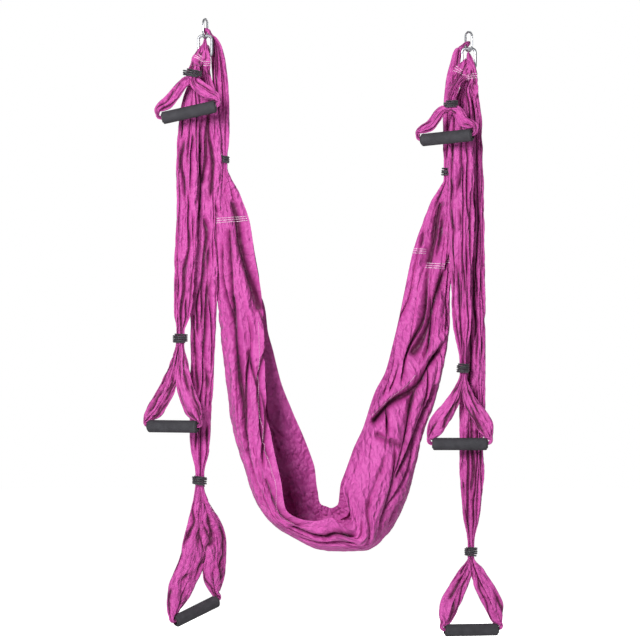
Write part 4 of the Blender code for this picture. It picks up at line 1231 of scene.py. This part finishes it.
# The cord's sides and the steps of its ends, then how unevenly it is wound: each turn's rise and
# reach, and the tilt of them all
CORD_SIDES = 12
CORD_END_STEPS = 6
TIE_UNEVEN = 0.0007
TIE_LOOSE = 0.0009
TIE_TILTS_DEG = {
    "left_short_tie": -8.0, "left_long_tie": -7.0, "right_short_tie": 6.0,
    "left_hammock_tie": -5.0, "right_hammock_tie": 5.0,
}


def tie(name, body, centre, half_width, half_depth, turns):
    """An elastic cord wound round the gathered cloth, one unbroken length with two short ends."""
    rng = np.random.default_rng(seed_of(name))
    reach_x = half_width + CORD_SEAT + CORD / 2
    reach_y = half_depth + CORD_SEAT + CORD / 2
    step = np.arange(turns * CORD_STEPS + 1)
    angle = math.tau * step / CORD_STEPS + 0.5 * math.pi
    rise = CORD_PITCH * (step / CORD_STEPS - turns / 2)
    knots = np.arange(turns + 1) * CORD_STEPS
    rise = rise + np.interp(step, knots, rng.uniform(-TIE_UNEVEN, TIE_UNEVEN, turns + 1))
    reach_x = reach_x + np.interp(step, knots, rng.uniform(0.0, TIE_LOOSE, turns + 1))
    rise = rise + reach_x * np.cos(angle) * math.tan(math.radians(TIE_TILTS_DEG.get(name, 0.0)))
    points = np.stack([reach_x * np.cos(angle), -reach_y * np.sin(angle), rise], axis=-1) + centre
    lead = unit(points[0] - points[1]) * CORD_END - Y * (CORD_END / 2)
    tail = unit(points[-1] - points[-2]) * CORD_END - Y * (CORD_END / 2)
    share = np.linspace(1.0, 0.0, CORD_END_STEPS, endpoint=False)[:, None]
    points = np.concatenate([points[0] + lead * share, points, (points[-1] + tail * share)[::-1]])
    shape = Shape()
    shape.add(tube(points, CORD / 2, CORD_SIDES), ELASTIC, around=True, caps=True)
    obj = shape.build(f"{name}_cord")
    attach(obj, body)
    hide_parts(name)


def ties():
    for label, (_, turns) in TIE_PIXELS.items():
        tie(f"{label}_tie", f"{label}_strap", *tie_place(label), turns)
    for side, (height, turns) in TAIL_TIE_PIXELS.items():
        last = TAIL_PIXELS[side][-1]
        centre = from_pixels(last[0], height, TAIL_DEPTH)
        tie(f"{side}_hammock_tie", "hammock", centre, last[2] * PIXEL, last[3] * PIXEL, turns)


# Grips


def turned(profile, centre, along, up, sides):
    """Rings round an axis through a closed profile of radius and distance along."""
    side = np.cross(along, up)
    angle = np.linspace(0.0, math.tau, sides, endpoint=False)[:, None, None]
    radius, distance = np.array(profile).T
    out = up * np.cos(angle) + side * np.sin(angle)
    return centre + along * distance[None, :, None] + out * radius[None, :, None]


def mirrored(profile):
    return [(radius, -distance) for radius, distance in reversed(profile)]


def grip(label):
    """The foam sleeve with rounded ends, and the plastic tube inside it."""
    _, centre, along, up = loop_rows(label)
    half = FOAM_LENGTH / 2
    edge = FOAM_RADIUS - FOAM_EDGE
    rounded = [(CORE_RADIUS + CORE_CLEARANCE, -half)]
    for a in np.linspace(0.0, math.pi / 2, FOAM_ARC_STEPS):
        rounded.append((edge + FOAM_EDGE * math.sin(a), -half + FOAM_EDGE * (1 - math.cos(a))))
    straight = half - 2 * FOAM_EDGE
    middle = [(FOAM_RADIUS, at) for at in np.linspace(-straight, straight, FOAM_STEPS)]
    foam = rounded + middle + mirrored(rounded)
    half = CORE_LENGTH / 2
    lip = (CORE_RADIUS - CORE_BORE_RADIUS) / 4
    rounded = [
        (CORE_BORE_RADIUS, -half + lip), (CORE_BORE_RADIUS + lip, -half),
        (CORE_RADIUS - lip, -half), (CORE_RADIUS, -half + lip),
    ]
    core = rounded + mirrored(rounded)
    for name, node, slot, profile, sides, look in (
        ("foam", "grip", "foam", foam, FOAM_SIDES, FOAM),
        ("tube", "core", "tube", core, CORE_SIDES, TUBE),
    ):
        shape = Shape()
        shape.add(turned(profile, centre, along, up, sides), look, around=True, along=True)
        obj = shape.build(f"{label}_{name}", SHARP_DEG)
        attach(obj, f"{label}_grip")
        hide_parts(f"{label}_{node}")


# Stage


# Where the lights point, then each light's place, width and height, and power
LIT_PLACE = (0.0, 0.0, -0.75)
LIGHTS = {
    "key": ((-1.35, -3.9, 0.7), (1.0, 1.5), 232.0),
    "fill": ((2.6, -3.0, -0.2), (2.0, 2.0), 10.0),
    "back": ((0.8, 4.0, 0.2), (2.0, 2.0), 110.0),
    "top": ((0.2, 0.6, 1.8), (1.6, 1.6), 12.0),
}


def area_light(name, place, size, power):
    data = bpy.data.lights.new(name, "AREA")
    data.shape = "RECTANGLE"
    data.size, data.size_y = size
    data.energy = power
    light = added(name, data)
    light.location = place
    towards = Vector(LIT_PLACE) - Vector(place)
    light.rotation_euler = towards.to_track_quat("-Z", "Y").to_euler()


def camera():
    data = bpy.data.cameras.new("camera")
    data.sensor_width = SENSOR_MM
    data.lens = SENSOR_MM * CAMERA_DISTANCE / (PICTURE_PIXELS * PIXEL)
    obj = added("camera", data)
    middle = from_pixels(PICTURE_PIXELS / 2, PICTURE_PIXELS / 2, 0.0)
    obj.location = (middle[0], -CAMERA_DISTANCE, middle[2])
    obj.rotation_euler = (math.pi / 2, 0.0, 0.0)
    bpy.context.scene.camera = obj


FLOOR_LEVEL = -1.75
FLOOR_HALF = 14.0
FLOOR_CORNERS = ((-1, -1), (1, -1), (1, 1), (-1, 1))
FLOOR_GLOW = 0.90
# What the world gives as light, and what the camera sees of it
WORLD_LIGHT = 0.12
WORLD_SEEN = 1.0


def stage():
    """A pale floor that keeps the shadow, and a white world that lights the object gently."""
    floor = Shader("pale_floor", (0.86, 0.86, 0.86), 0.9, Emission_Color=(1.0, 1.0, 1.0, 1.0))
    glow = floor.between(floor.seen(), 0.0, FLOOR_GLOW)
    floor.link(glow, floor.main.inputs["Emission Strength"])
    mesh = bpy.data.meshes.new("floor")
    corners = [(x * FLOOR_HALF, y * FLOOR_HALF, FLOOR_LEVEL) for x, y in FLOOR_CORNERS]
    mesh.from_pydata(corners, [], [(0, 1, 2, 3)])
    mesh.materials.append(floor.material)
    added("floor", mesh)

    world = bpy.data.worlds.new("world")
    bpy.context.scene.world = world
    sky = Nodes(world)
    background = sky.nodes["Background"]
    background.inputs["Color"].default_value = (1.0, 1.0, 1.0, 1.0)
    sky.link(sky.between(sky.seen(), WORLD_LIGHT, WORLD_SEEN), background.inputs["Strength"])
    for name, light in LIGHTS.items():
        area_light(name, *light)


camera()
stage()
hammock()
for strap_label in COLUMN_PIXELS:
    strap(strap_label)
    grip(strap_label)
ties()
for node_name, node_object in frame["nodes"].items():
    if node_name.endswith(("_body", "_gate", "_rivet", "_nose_pin", "_spring")):
        for slot in node_object.material_slots:
            slot.material = STEEL
bpy.context.scene.view_settings.view_transform = "Standard"
